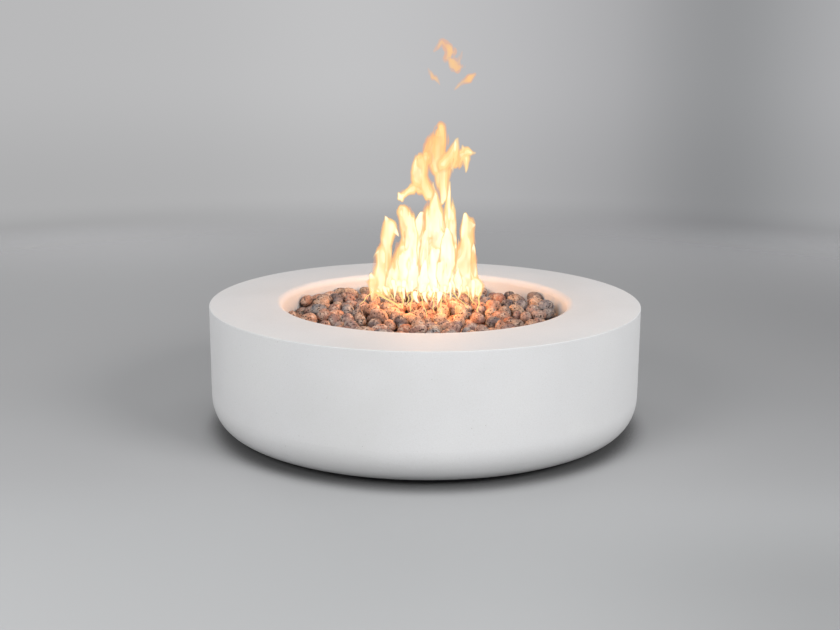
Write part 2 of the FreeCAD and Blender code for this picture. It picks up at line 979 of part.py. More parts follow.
# ================================================================ control valve
def control_valve():
    """Valve block with its threaded neck through the control plate, gas ports above and below."""
    half = valve_block / 2
    body = block(
        Vector(valve_x - half, valve_back, valve_z - half),
        Vector(valve_x + half, valve_front, valve_z + half),
    )
    upright = [e for e in body.Edges if e.BoundBox.ZLength > valve_block - 1]
    body = body.makeChamfer(valve_chamfer, upright)
    neck_end = control_face + valve_nut_thickness - seat_gap
    tap_start = valve_back - tap_length
    shape = joined(
        [
            body,
            rod(neck_radius, Vector(valve_x, valve_front - 1, valve_z), Vector(valve_x, neck_end, valve_z)),
            rod(
                boss_radius,
                Vector(valve_x, pipe_y, valve_z - half - boss_height),
                Vector(valve_x, pipe_y, valve_z + half + boss_height),
            ),
            rod(
                pilot_tap_radius,
                Vector(pilot_tap_x, tap_start, tap_z),
                Vector(pilot_tap_x, valve_back + 1, tap_z),
            ),
            rod(
                sensor_tap_radius,
                Vector(sensor_tap_x, tap_start, tap_z),
                Vector(sensor_tap_x, valve_back + 1, tap_z),
            ),
        ]
    )
    rod_room = spindle_start - push_rod_length - knob_stroke - 1.0
    return shape.cut(
        [
            rod(
                spindle_radius + running_gap,
                Vector(valve_x, spindle_start - knob_stroke - 0.5, valve_z),
                Vector(valve_x, neck_end + 1, valve_z),
            ),
            rod(
                push_rod_radius + running_gap,
                Vector(valve_x, rod_room, valve_z),
                Vector(valve_x, spindle_start, valve_z),
            ),
        ]
    )


def valve_push_rod():
    """Pushed in by the spindle to hold the flame-failure magnet off its seat."""
    start = spindle_start - seat_gap - push_rod_length
    end = start + push_rod_length
    return rod(push_rod_radius, Vector(valve_x, start, valve_z), Vector(valve_x, end, valve_z))


def valve_locknut():
    face = Vector(valve_x, control_face, valve_z)
    return nut(valve_nut_flats, neck_radius + running_gap, face, face + BACK * valve_nut_thickness)


def flat_side(start, end, reach):
    """What a D-shaped shaft lacks."""
    return block(
        Vector(valve_x - 9, start, valve_z + reach), Vector(valve_x + 9, end, valve_z + 9)
    )


def valve_spindle():
    shaft = rod(
        spindle_radius, Vector(valve_x, spindle_start, valve_z), Vector(valve_x, spindle_end, valve_z)
    )
    return shaft.cut(flat_side(knob_back + 3, spindle_end + 1, spindle_flat))


def valve_knob():
    """Round skirt with a raised grip bar. Hollow behind, so that it clears the lock nut when pushed."""
    skirt = turned_back(
        [
            (0, knob_back),
            (knob_radius, knob_back),
            (knob_radius, knob_back + knob_skirt - 1.5),
            (knob_radius - 1.5, knob_back + knob_skirt),
            (0, knob_back + knob_skirt),
        ],
        valve_x,
        valve_z,
    )
    hollow = tube(
        knob_radius - knob_wall,
        spindle_radius + 3.0,
        Vector(valve_x, knob_back - 1, valve_z),
        Vector(valve_x, knob_back + knob_skirt - 2, valve_z),
    )
    knob_front = knob_back + knob_height
    grip = block(
        Vector(valve_x - grip_width / 2, knob_back + knob_skirt - 1, valve_z - knob_radius),
        Vector(valve_x + grip_width / 2, knob_front, valve_z + knob_radius),
    )
    grip = grip.makeFillet(grip_round, [e for e in grip.Edges if e.BoundBox.YMin > knob_front - 1])
    grip = grip.common(
        rod(
            knob_radius - 1.5,
            Vector(valve_x, knob_back, valve_z),
            Vector(valve_x, knob_front + 2, valve_z),
        )
    )
    pointer = block(
        Vector(valve_x - pointer_width / 2, knob_front - pointer_depth, valve_z + pointer_start),
        Vector(valve_x + pointer_width / 2, knob_front + 1, valve_z + knob_radius),
    )
    bore = rod(
        spindle_radius + running_gap,
        Vector(valve_x, knob_back - 1, valve_z),
        Vector(valve_x, spindle_end, valve_z),
    ).cut(flat_side(knob_back + 3, spindle_end + 1, spindle_flat + running_gap))
    front_relief = rod(
        7.5, Vector(valve_x, knob_back - 1, valve_z), Vector(valve_x, knob_back + 1.5, valve_z)
    )
    return joined([skirt, grip]).cut([hollow, pointer, bore, front_relief])


# ================================================================ igniter
def igniter_module():
    """Battery igniter: a sleeve with a threaded neck, and the button's bore in its front."""
    plate_back = control_face - box_sheet
    shape = turned_back(
        [
            (0, igniter_back - igniter_terminal),
            (3, igniter_back - igniter_terminal),
            (3, igniter_back),
            (igniter_radius, igniter_back),
            (igniter_radius, plate_back - 2),
            (igniter_collar, plate_back - 2),
            (igniter_collar, plate_back - seat_gap),
            (igniter_neck, plate_back - seat_gap),
            (igniter_neck, igniter_front),
            (0, igniter_front),
        ],
        igniter_x,
        igniter_z,
    )
    bore = rod(
        button_radius + running_gap,
        Vector(igniter_x, control_face - button_depth, igniter_z),
        Vector(igniter_x, igniter_front + 1, igniter_z),
    )
    return shape.cut(bore)


def igniter_nut():
    face = Vector(igniter_x, control_face, igniter_z)
    return nut(igniter_nut_flats, igniter_neck + running_gap, face, face + BACK * valve_nut_thickness)


def igniter_button():
    """Its travel is the room left behind it in the bore."""
    back = control_face - button_depth + button_travel + 1.0
    top = igniter_front + button_height
    return turned_back(
        [
            (0, back),
            (button_radius, back),
            (button_radius, top - 1.5),
            (button_radius - 1.5, top),
            (0, top),
        ],
        igniter_x,
        igniter_z,
    )


# ================================================================ shut-off valve
def shutoff_valve():
    """Gas cock body: hexagonal ends, a round barrel and a bonnet around the stem."""
    middle = Vector(0, pipe_y, shutoff_z)
    end = UP * cock_half
    face = UP * (cock_half - cock_end)
    shape = joined(
        [
            hexagon(cock_flats, middle - end, middle - face),
            hexagon(cock_flats, middle + face, middle + end),
            rod(barrel_radius, middle - face - UP, middle + face + UP),
            rod(cock_neck_radius, middle - BACK * 14, middle + BACK * 20),
            rod(bonnet_radius, middle + BACK * 19, Vector(0, bonnet_end, shutoff_z)),
        ]
    )
    return shape.cut(
        [
            rod(gas_bore, middle - end - UP, middle + end + UP),
            rod(plug_radius + running_gap, middle - BACK * plug_half, middle + BACK * plug_half),
            rod(spindle_radius + running_gap, middle, Vector(0, bonnet_end + 1, shutoff_z)),
        ]
    )


def shutoff_plug():
    """Cylindrical plug with its cross bore, on the stem that carries the lever."""
    middle = Vector(0, pipe_y, shutoff_z)
    end = BACK * (plug_half - seat_gap)
    cross = UP * (plug_radius + 4)
    plug = rod(plug_radius, middle - end, middle + end).cut(rod(plug_bore, middle - cross, middle + cross))
    stem_end = Vector(0, lever_back + lever_sheet + lever_nut_thickness + 1, shutoff_z)
    return joined([plug, rod(spindle_radius, middle + end, stem_end)])


def shutoff_lever():
    """Flat lever, in line with the pipe when the gas is on."""
    hub = Vector(0, lever_back, shutoff_z)
    tip = hub + UP * (lever_length - lever_width / 2)
    across = RIGHT * (lever_width / 2)
    shape = joined(
        [
            block(hub - across, tip + across + BACK * lever_sheet),
            rod(lever_width / 2, tip, tip + BACK * lever_sheet),
            rod(lever_hub_radius, hub - BACK * 2, hub + BACK * lever_sheet),
        ]
    )
    return shape.cut(rod(spindle_radius + running_gap, hub - BACK * 3, hub + BACK * 9))


def shutoff_lever_nut():
    face = Vector(0, lever_back + lever_sheet, shutoff_z)
    bore = spindle_radius + running_gap
    return nut(lever_nut_flats, bore, face, face + BACK * lever_nut_thickness)


def link_pipe():
    """Copper pipe over the top, from the shut-off valve to the control valve."""
    boss_top = valve_z + valve_block / 2 + boss_height
    top = boss_top + link_rise
    return bent(
        [
            Vector(0, pipe_y, shutoff_z + cock_half),
            Vector(0, pipe_y, top),
            Vector(valve_x, pipe_y, top),
            Vector(valve_x, pipe_y, boss_top),
        ],
        link_radius,
        name="link_pipe",
    )


# ================================================================ pan and burner
def burner_pan():
    """Stainless drop-in pan with an upturned lip, resting on the casing's ledge."""
    outer = well_radius - pan_clearance
    shape = turned(
        [
            (nipple_radius + 1, ledge_top),
            (outer, ledge_top),
            (outer, ledge_top + pan_lip),
            (outer - pan_sheet, ledge_top + pan_lip),
            (outer - pan_sheet, pan_floor),
            (nipple_radius + 1, pan_floor),
        ]
    )
    drain = rod(
        5.0, Vector(pan_drain_circle, 0, ledge_top - 1), Vector(pan_drain_circle, 0, pan_floor + 1)
    )
    slot = block(
        Vector(-pilot_half + 6, pilot_y - 9, ledge_top - 1),
        Vector(pilot_half - 6, pilot_y + 7, pan_floor + 1),
    )
    return shape.cut(around(drain, pan_drains, 22.5) + [slot])


def burner_ring(radius):
    """The ring's round tube, whole or as its bore."""
    corner_radius = burner_ring_radius / math.cos(math.pi / burner_flats)
    corners = [
        at_polar(corner_radius, 360.0 * i / burner_flats, burner_z) for i in range(burner_flats + 1)
    ]
    section = Part.Wire(Part.makeCircle(radius, corners[0], corners[1] - corners[0]))
    return Part.makePolygon(corners).makePipeShell([section], True, False, 1)


def ring_burner():
    """Ring of rolled tube with a cross of feed tubes, a hub over the inlet, and ports along the top."""
    centre = Vector(0, 0, burner_z)
    spokes, bores = [], []
    for across in (RIGHT, BACK):
        reach = across * burner_ring_radius
        spokes.append(rod(spoke_radius, centre - reach, centre + reach))
        bores.append(rod(spoke_radius - burner_wall, centre - reach, centre + reach))
    hub = rod(hub_radius, Vector(0, 0, granule_top + seat_gap), Vector(0, 0, hub_top))
    shape = joined([burner_ring(burner_tube_radius), hub] + spokes)
    shape = shape.cut([burner_ring(burner_tube_radius - burner_wall)] + bores)
    ports = around(burner_port(burner_ring_radius), burner_flats, 180.0 / burner_flats)
    free_length = burner_ring_radius - burner_tube_radius - hub_radius
    for i in range(spoke_ports):
        ports += around(burner_port(hub_radius + free_length * (i + 1) / (spoke_ports + 1)), 4)
    nipple = rod(
        nipple_radius + running_gap,
        Vector(0, 0, granule_top - 1),
        Vector(0, 0, burner_z + nipple_in_hub + seat_gap),
    )
    return shape.cut(ports + [nipple])


def burner_port(radius):
    """Cuts through the top wall of a tube at that radius."""
    return rod(
        port_radius, Vector(radius, 0, burner_z + 4), Vector(radius, 0, burner_z + burner_tube_radius + 2)
    )


def at_polar(radius, degrees, height):
    turn = math.radians(degrees)
    return Vector(radius * math.cos(turn), radius * math.sin(turn), height)


def burner_feet():
    """Short legs from the pan to the ring."""
    foot = Vector(burner_ring_radius, 0, pan_floor)
    leg = rod(leg_radius, foot, Vector(burner_ring_radius, 0, granule_top))
    return Part.makeCompound(around(leg, 4, 45.0))


def burner_nipple():
    """Pipe nipple through the pan into the burner's hub."""
    top = Vector(0, 0, burner_z + nipple_in_hub)
    return tube(nipple_radius, nipple_bore, Vector(0, 0, nipple_bottom), top)


def burner_locknuts():
    """One above the pan and one below it."""
    bore = nipple_radius + running_gap
    above = Vector(0, 0, pan_floor)
    below = Vector(0, 0, ledge_top)
    thickness = UP * pan_nut_thickness
    return Part.makeCompound(
        [
            nut(pan_nut_flats, bore, above, above + thickness),
            nut(pan_nut_flats, bore, below - thickness, below),
        ]
    )


def heat_shield():
    """Dished steel disc under the pan, over the gas elbow and hose."""
    flat_radius = shield_radius - shield_dish
    edge = shield_top - shield_dish
    return turned(
        [
            (nipple_radius + hole_gap, shield_top - shield_sheet),
            (flat_radius, shield_top - shield_sheet),
            (shield_radius, edge),
            (shield_radius + shield_sheet, edge + shield_sheet / 2),
            (flat_radius + shield_sheet / 2, shield_top),
            (nipple_radius + hole_gap, shield_top),
        ]
    )


def burner_elbow():
    """Turns the gas line from the mixer up into the nipple."""
    top = Vector(0, 0, elbow_top)
    corner = Vector(0, 0, mixer_z)
    points = [top, corner, corner + BACK * mixer_start]
    body = bent(points, fitting_radius, name="burner_elbow", bends=fitting_bend)
    return body.cut(rod(nipple_radius + running_gap, Vector(0, 0, nipple_bottom - 1), top + UP))


def air_mixer():
    """Tube with air holes near the orifice."""
    start = Vector(0, mixer_start, mixer_z)
    end = Vector(0, mixer_end, mixer_z)
    shape = tube(mixer_radius, mixer_radius - mixer_wall, start, end)
    holes = []
    for across in (RIGHT, UP):
        middle = end - BACK * air_hole_place
        reach = across * (mixer_radius + 3)
        holes.append(rod(air_hole_radius, middle - reach, middle + reach))
    return shape.cut(holes)


def gas_orifice():
    """Brass spud in the end of the mixer, with its jet hole."""
    end = Vector(0, mixer_end, mixer_z)
    shank = mixer_radius - mixer_wall - running_gap
    shape = joined(
        [
            rod(shank, end - BACK * spud_depth, end + BACK),
            hexagon(spud_flats, end, end + BACK * spud_head),
        ]
    )
    return shape.cut(rod(jet_radius, end - BACK * (spud_depth + 1), end + BACK * (spud_head + 1)))


def burner_hose():
    """Flexible gas hose from the control valve to the orifice."""
    start = Vector(valve_x, pipe_y, valve_z - valve_block / 2 - boss_height - hose_nut_at_valve)
    end = Vector(0, mixer_end + spud_head + hose_nut_at_spud, mixer_z)
    return bent(
        [
            start,
            Vector(valve_x, pipe_y, start.z - 86),
            Vector(valve_x + 10, pipe_y - 112, start.z - 88),
            Vector(valve_x / 3, end.y + 112, mixer_z - 22),
            end + BACK * 50.0,
            end,
        ],
        hose_radius,
        name="burner_hose",
    )


def hose_nuts():
    """Flare nuts at both ends of the hose."""
    at_valve = Vector(valve_x, pipe_y, valve_z - valve_block / 2 - boss_height)
    at_spud = Vector(0, mixer_end + spud_head, mixer_z)
    return Part.makeCompound(
        [
            hexagon(hose_nut_flats, at_valve - UP * hose_nut_at_valve, at_valve),
            hexagon(hose_nut_flats, at_spud, at_spud + BACK * hose_nut_at_spud),
        ]
    )


# ================================================================ pilot
def pilot_bracket():
    """Foot on the pan, upright, and a shelf that holds the pilot's three parts."""
    base = pan_floor + seat_gap
    back = pilot_y + 10.0
    top = shelf_z + pilot_sheet
    shape = joined(
        [
            block(
                Vector(-pilot_half, back, base),
                Vector(pilot_half, back + pilot_foot, base + pilot_sheet),
            ),
            block(Vector(-pilot_half, back, base), Vector(pilot_half, back + pilot_sheet, top)),
            block(
                Vector(-pilot_half, pilot_y - 12, shelf_z),
                Vector(pilot_half, back + pilot_sheet, top),
            ),
        ]
    )
    return shape.cut(
        [
            pilot_hole(pilot_burner_x, pilot_radius + running_gap),
            pilot_hole(sensor_x, sensor_radius + running_gap),
            pilot_hole(electrode_x, sleeve_radius + running_gap, electrode_forward),
        ]
    )


def pilot_hole(x, radius, forward=0.0):
    y = pilot_y - forward
    return rod(radius, Vector(x, y, shelf_z - 2), Vector(x, y, shelf_z + 4))


def pilot_burner():
    """Brass pilot with a collar on the shelf and a jet slot facing the ring."""
    base = Vector(pilot_burner_x, pilot_y, shelf_z - below_shelf)
    collar = base + UP * (below_shelf + pilot_sheet)
    shape = joined(
        [rod(pilot_radius, base, collar + UP * 14.5), rod(pilot_collar, collar, collar + UP * 4)]
    )
    slot = block(collar + Vector(-2, -7, 7.5), collar + Vector(2, 0, 11.5))
    return shape.cut(slot)


def thermocouple():
    base = Vector(sensor_x, pilot_y, shelf_z - below_shelf)
    return joined([rod(sensor_radius, base, base + UP * 17.0), rod(tip_radius, base, base + UP * 30.0)])


def spark_electrode():
    """Ceramic sleeve on its steel wire, beside the pilot's jet."""
    base = Vector(electrode_x, pilot_y - electrode_forward, shelf_z - below_shelf)
    wire = rod(wire_radius, base + UP * 20.0, base + UP * 30.0)
    return joined([rod(sleeve_radius, base, base + UP * 22.0), wire])


def pilot_hood():
    """Sheet hood that keeps the stones off the pilot, with a window in front and vents in its sides."""
    low = Vector(-hood_width / 2, hood_front, pan_floor + seat_gap)
    high = Vector(hood_width / 2, hood_front + hood_width, pan_floor + seat_gap + hood_height)
    sheet = Vector(hood_sheet, hood_sheet, 0)
    inside = block(low + sheet - UP, high - sheet - UP * hood_sheet)
    window = block(
        Vector(-hood_window / 2, hood_front - 1, granule_top + 2),
        Vector(hood_window / 2, hood_front + 5, high.z - 5),
    )
    vents = block(
        Vector(-hood_width, pilot_y - 8, high.z - 7 - hood_vent),
        Vector(hood_width, pilot_y + 16, high.z - 7),
    )
    return block(low, high).cut([inside, window, vents])


def pilot_lead(tap_x, end_x, name):
    """From a tap on the valve, under the ledge, and up through the pan's slot."""
    return bent(
        [
            Vector(tap_x, valve_back - tap_length, tap_z),
            Vector(tap_x, lead_turn_y, tap_z),
            Vector(end_x, lead_end_y, lead_z),
            Vector(end_x, pilot_y, lead_z + 4),
            Vector(end_x, pilot_y, shelf_z - below_shelf),
        ],
        lead_radius,
        name=name,
    )


def pilot_tube():
    return pilot_lead(pilot_tap_x, pilot_burner_x, "pilot_tube")


def thermocouple_lead():
    return pilot_lead(sensor_tap_x, sensor_x, "thermocouple_lead")


def ignition_lead():
    """High-tension lead from the igniter to the electrode."""
    y = pilot_y - electrode_forward
    back = igniter_back - igniter_terminal
    return bent(
        [
            Vector(igniter_x, back, igniter_z),
            Vector(igniter_x, back - 64, igniter_z),
            Vector(electrode_x, y, lead_z - 12),
            Vector(electrode_x, y, shelf_z - below_shelf),
        ],
        lead_radius,
        name="ignition_lead",
    )


def lead_clip():
    """Clip under the ledge that the pilot tube and the thermocouple lead run through."""
    share = (lead_turn_y - clip_y) / (lead_turn_y - lead_end_y)
    places, loops = [], []
    for tap_x, end_x in ((pilot_tap_x, pilot_burner_x), (sensor_tap_x, sensor_x)):
        start = Vector(tap_x, lead_turn_y, tap_z)
        run = Vector(end_x, lead_end_y, lead_z) - start
        places.append(start + run * share)
        reach = run * (clip_width / run.Length)
        loops.append(rod(lead_radius + seat_gap, places[-1] - reach, places[-1] + reach))
    low = Vector(places[0].x - clip_margin, clip_y - clip_width / 2, places[0].z - clip_margin)
    high = Vector(places[1].x + clip_margin, clip_y + clip_width / 2, ledge_bottom - seat_gap)
    return block(low, high).cut(loops)


# ================================================================ stone fill
def lava_granules():
    """Loose base layer of small lava in the pan, as one solid with room for what stands in it."""
    inner = pan_nut_flats / math.sqrt(3) + 2 * seat_gap
    outer = well_radius - pan_clearance - pan_sheet - seat_gap
    shape = turned(
        [
            (inner, pan_floor + seat_gap),
            (outer, pan_floor + seat_gap),
            (outer, granule_top),
            (inner, granule_top),
        ]
    )
    leg = rod(
        leg_radius + seat_gap,
        Vector(burner_ring_radius, 0, pan_floor),
        Vector(burner_ring_radius, 0, granule_top + 1),
    )
    hood = block(
        Vector(-hood_width / 2 - seat_gap, hood_front - seat_gap, pan_floor),
        Vector(hood_width / 2 + seat_gap, hood_front + hood_width + seat_gap, granule_top + 1),
    )
    return shape.cut(around(leg, 4, 45.0) + [hood])


def polygon_face(points):
    return Part.Face(Part.makePolygon(points + [points[0]]))


def stone(place, along_ring, across_ring, height, turn):
    """One tumbled stone: a flat-sided pebble with a flat to rest on."""
    belts = []
    for level, share in ((0.0, 0.72), (0.45, 1.0), (1.0, 0.5)):
        belts.append(
            [
                Vector(
                    across_ring / 2 * share * math.cos(2 * math.pi * i / stone_sides),
                    along_ring / 2 * share * math.sin(2 * math.pi * i / stone_sides),
                    height * level,
                )
                for i in range(stone_sides)
            ]
        )
    faces = [polygon_face(belts[0]), polygon_face(belts[2])]
    for lower, upper in (belts[0:2], belts[1:3]):
        for i in range(stone_sides):
            j = (i + 1) % stone_sides
            faces.append(polygon_face([lower[i], lower[j], upper[j], upper[i]]))
    solid = Part.makeSolid(Part.makeShell(faces))
    if solid.Volume < 0:
        solid.reverse()
    solid.rotate(ORIGIN, UP, turn)
    solid.translate(place)
    return solid


def sized_stone(chance, radius, degrees, bottom, share=1.0):
    """A stone of random size that stays inside its share of the ring."""
    return stone(
        at_polar(radius, degrees, bottom),
        stone_width * share * chance.uniform(0.86, 1.0),
        (stone_pitch - stone_gap) * share * chance.uniform(0.86, 1.0),
        stone_height * share * chance.uniform(0.92, 1.14),
        degrees,
    )


def ring_of_stones(chance, radius, bottom, shift):
    count = int(2 * math.pi * radius / (stone_width + stone_gap))
    places = [90 + 360.0 * (i + shift) / count for i in range(count)]
    return [(radius, degrees, bottom) for degrees in places]


def over_hood(radius, degrees):
    """Whether a stone here would stand in the pilot's hood."""
    place = at_polar(radius, degrees, 0)
    clear = stone_width / 2 + stone_gap
    beside = abs(place.x) < hood_width / 2 + clear
    return beside and hood_front - clear < place.y < hood_front + hood_width + clear


def lava_stones():
    """Stones in rings: those over the burner's tubes and the pilot's hood stand on them, the rest on the
    granules."""
    chance = random.Random(stone_seed)
    bed = granule_top + seat_gap
    burner_top = burner_z + burner_tube_radius + seat_gap
    spoke_top = burner_z + spoke_radius + seat_gap
    hood_top = pan_floor + seat_gap + hood_height + seat_gap
    places = ring_of_stones(chance, burner_ring_radius, burner_top, 0.5)
    radius = burner_ring_radius + stone_pitch
    while radius + stone_pitch / 2 <= well_radius - stone_gap:
        row = round((radius - burner_ring_radius) / stone_pitch)
        places += ring_of_stones(chance, radius, bed, 0.5 * (row % 2))
        radius += stone_pitch
    stones = [sized_stone(chance, *place) for place in places if not over_hood(*place[:2])]
    inner = burner_ring_radius - stone_pitch
    for i in range(8):
        stones.append(sized_stone(chance, inner, 22.5 + 45.0 * i, bed, 0.8))
    for i in range(4):
        stones.append(sized_stone(chance, inner, 90.0 * i, spoke_top, 0.55))
        stones.append(sized_stone(chance, inner - stone_pitch, 45 + 90.0 * i, bed, 0.8))
    stones.append(sized_stone(chance, 0, 0, hub_top + seat_gap, 0.7))
    hood_middle = hood_front + hood_width / 2
    for x in (-15.0, 15.0):
        stones.append(
            sized_stone(
                chance,
                math.hypot(x, hood_middle),
                math.degrees(math.atan2(hood_middle, x)),
                hood_top,
                0.6,
            )
        )
    return Part.makeCompound(stones)


# ================================================================ build
makers = [
    concrete_casing,
    foot_inserts,
    plinth_ring,
    plinth_screws,
    plinth_pads,
    inlet_bracket,
    inlet_bracket_screws,
    inlet_fitting,
    inlet_locknut,
    supply_elbow,
    supply_pipe,
    door_frame,
    door_frame_screws,
    control_box,
    control_box_rivets,
    door_panel,
    door_backing,
    backing_screws,
    pivot_bushes,
    pivot_pins,
    pivot_washers,
    magnet_catches,
    control_valve,
    valve_push_rod,
    valve_locknut,
    valve_spindle,
    valve_knob,
    igniter_module,
    igniter_nut,
    igniter_button,
    shutoff_valve,
    shutoff_plug,
    shutoff_lever,
    shutoff_lever_nut,
    link_pipe,
    burner_pan,
    ring_burner,
    burner_feet,
    burner_nipple,
    burner_locknuts,
    heat_shield,
    burner_elbow,
    air_mixer,
    gas_orifice,
    burner_hose,
    hose_nuts,
    pilot_bracket,
    pilot_burner,
    thermocouple,
    spark_electrode,
    pilot_hood,
    pilot_tube,
    thermocouple_lead,
    ignition_lead,
    lead_clip,
    lava_granules,
    lava_stones,
]

os.makedirs("parts", exist_ok=True)
for maker in makers:
    piece = maker()
    if not piece.isValid() or not piece.Solids:
        print("check", maker.__name__, piece.isValid(), len(piece.Solids))
    piece.exportStep("parts/" + maker.__name__ + ".step")
print(len(makers), "nodes")
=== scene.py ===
import math

import bpy
import numpy as np
from mathutils import Matrix, Vector


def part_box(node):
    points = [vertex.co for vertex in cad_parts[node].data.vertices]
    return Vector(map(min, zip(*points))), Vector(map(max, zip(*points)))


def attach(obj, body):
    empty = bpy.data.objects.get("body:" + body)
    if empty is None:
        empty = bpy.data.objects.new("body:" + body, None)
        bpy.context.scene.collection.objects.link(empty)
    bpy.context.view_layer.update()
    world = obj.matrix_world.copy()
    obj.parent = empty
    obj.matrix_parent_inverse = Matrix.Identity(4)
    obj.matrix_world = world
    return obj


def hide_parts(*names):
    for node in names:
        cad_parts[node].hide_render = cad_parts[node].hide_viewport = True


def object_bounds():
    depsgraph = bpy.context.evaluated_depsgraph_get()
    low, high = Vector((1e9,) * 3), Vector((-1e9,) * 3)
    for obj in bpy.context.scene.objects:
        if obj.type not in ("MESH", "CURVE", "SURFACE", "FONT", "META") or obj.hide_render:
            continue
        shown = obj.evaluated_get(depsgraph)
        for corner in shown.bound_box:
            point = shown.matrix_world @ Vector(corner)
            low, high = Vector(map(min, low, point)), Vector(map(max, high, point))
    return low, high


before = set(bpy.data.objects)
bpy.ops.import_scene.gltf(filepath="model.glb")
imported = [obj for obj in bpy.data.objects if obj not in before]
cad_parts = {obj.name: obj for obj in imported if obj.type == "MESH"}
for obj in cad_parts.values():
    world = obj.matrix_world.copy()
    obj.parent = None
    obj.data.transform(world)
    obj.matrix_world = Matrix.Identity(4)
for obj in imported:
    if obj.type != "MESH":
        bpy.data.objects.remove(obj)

cad_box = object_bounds()
SEED = 11

# The fire well and what stands in it, in metres. No stone stands above the pile's top.
WELL_RADIUS = 0.398
BED_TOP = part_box("lava_granules")[1].z
PILE_TOP = cad_box[1][2] - 0.004
RING_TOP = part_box("ring_burner")[1]
RING_TUBE = 0.0095
RING_RADIUS = RING_TOP.x - RING_TUBE
RING_HEIGHT = sum(corner.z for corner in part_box("ring_burner")) / 2
SPOKE_RADIUS = 0.008
HUB_RADIUS = 0.016
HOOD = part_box("pilot_hood")


def placed(name, data):
    """An object of this data, linked into the scene."""
    made = bpy.data.objects.new(name, data)
    bpy.context.scene.collection.objects.link(made)
    return made


# ------------------------------------------------------------- node trees

class Reading:
    """A number that varies from place to place: a node's output that takes arithmetic in Python."""

    def __init__(self, recipe, socket):
        self.recipe, self.socket = recipe, socket

    def _with(self, operation, *values):
        return self.recipe.node("ShaderNodeMath", {"operation": operation},
                                dict(enumerate(values)))["Value"]

    def __add__(self, other):
        return self._with("ADD", self, other)

    def __sub__(self, other):
        return self._with("SUBTRACT", self, other)

    def __rsub__(self, other):
        return self._with("SUBTRACT", other, self)

    def __mul__(self, other):
        return self._with("MULTIPLY", self, other)

    def __truediv__(self, other):
        return self._with("DIVIDE", self, other)

    def __rtruediv__(self, other):
        return self._with("DIVIDE", other, self)

    def __pow__(self, other):
        return self._with("POWER", self, other)

    def __neg__(self):
        return self._with("MULTIPLY", self, -1.0)

    def __abs__(self):
        return self._with("ABSOLUTE", self)

    __radd__ = __add__
    __rmul__ = __mul__

    def over(self, low, high):
        """0 below low, 1 above high, smooth between them. High may be the smaller of the two."""
        return self.recipe.node("ShaderNodeMapRange", {"interpolation_type": "SMOOTHSTEP"},
                                {"Value": self, "From Min": low, "From Max": high})["Result"]


class Outputs:
    """A node's outputs by name."""

    def __init__(self, recipe, made):
        self.recipe, self.made = recipe, made

    def __getitem__(self, name):
        return Reading(self.recipe, chosen_socket(self.made.outputs, name))


def chosen_socket(sockets, key):
    """A socket by its index, or the one of that name that the node's settings have switched on."""
    if isinstance(key, int):
        return sockets[key]
    return next(socket for socket in sockets if socket.name == key and socket.enabled)


class Recipe:
    """A node tree and the one way in which nodes are added to it."""

    def __init__(self, tree):
        self.tree = tree

    def node(self, kind, settings=None, sockets=None):
        made = self.tree.nodes.new(kind)
        for name, value in (settings or {}).items():
            if name == "stops":
                ramp = made.color_ramp.elements
                while len(ramp) < len(value):
                    ramp.new(0.5)
                for element, (place, colour) in zip(ramp, value):
                    element.position, element.color = place, (*colour, 1.0)
            elif name == "easing":
                made.color_ramp.interpolation = value
            else:
                setattr(made, name, value)
        for key, value in (sockets or {}).items():
            socket = chosen_socket(made.inputs, key)
            if isinstance(value, Reading):
                self.tree.links.new(value.socket, socket)
            elif socket.type == "RGBA":
                socket.default_value = (*value, 1.0)
            else:
                socket.default_value = value
        return Outputs(self, made)

    def noise(self, place, scale, detail=3.0, roughness=0.5, bend=0.0):
        return self.node("ShaderNodeTexNoise", None,
                         {"Vector": place, "Scale": scale, "Detail": detail,
                          "Roughness": roughness, "Distortion": bend})["Fac"]

    def shifted(self, place, by):
        return self.node("ShaderNodeVectorMath", {"operation": "ADD"}, {0: place, 1: by})["Vector"]

    def axis(self, which, vector):
        """One of the three numbers of a vector, by its letter."""
        return self.node("ShaderNodeSeparateXYZ", None, {"Vector": vector})[which]

    def length(self, vector):
        return self.node("ShaderNodeVectorMath", {"operation": "LENGTH"}, {0: vector})["Value"]

    def ramp(self, reading, easing, *stops):
        """Colours along a reading from 0 to 1, blended in the way that easing names."""
        return self.node("ShaderNodeValToRGB", {"easing": easing, "stops": stops}, {"Fac": reading})["Color"]

    def mix(self, share, one, other, blend="MIX"):
        return self.node("ShaderNodeMix", {"data_type": "RGBA", "blend_type": blend},
                         {"Factor": share, "A": one, "B": other})["Result"]


def srgb(red, green, blue):
    """A colour as it is seen on a screen, 0 to 255, in the linear numbers that a node takes."""
    return tuple((c / 255 / 12.92) if c <= 10 else ((c / 255 + 0.055) / 1.055) ** 2.4
                 for c in (red, green, blue))


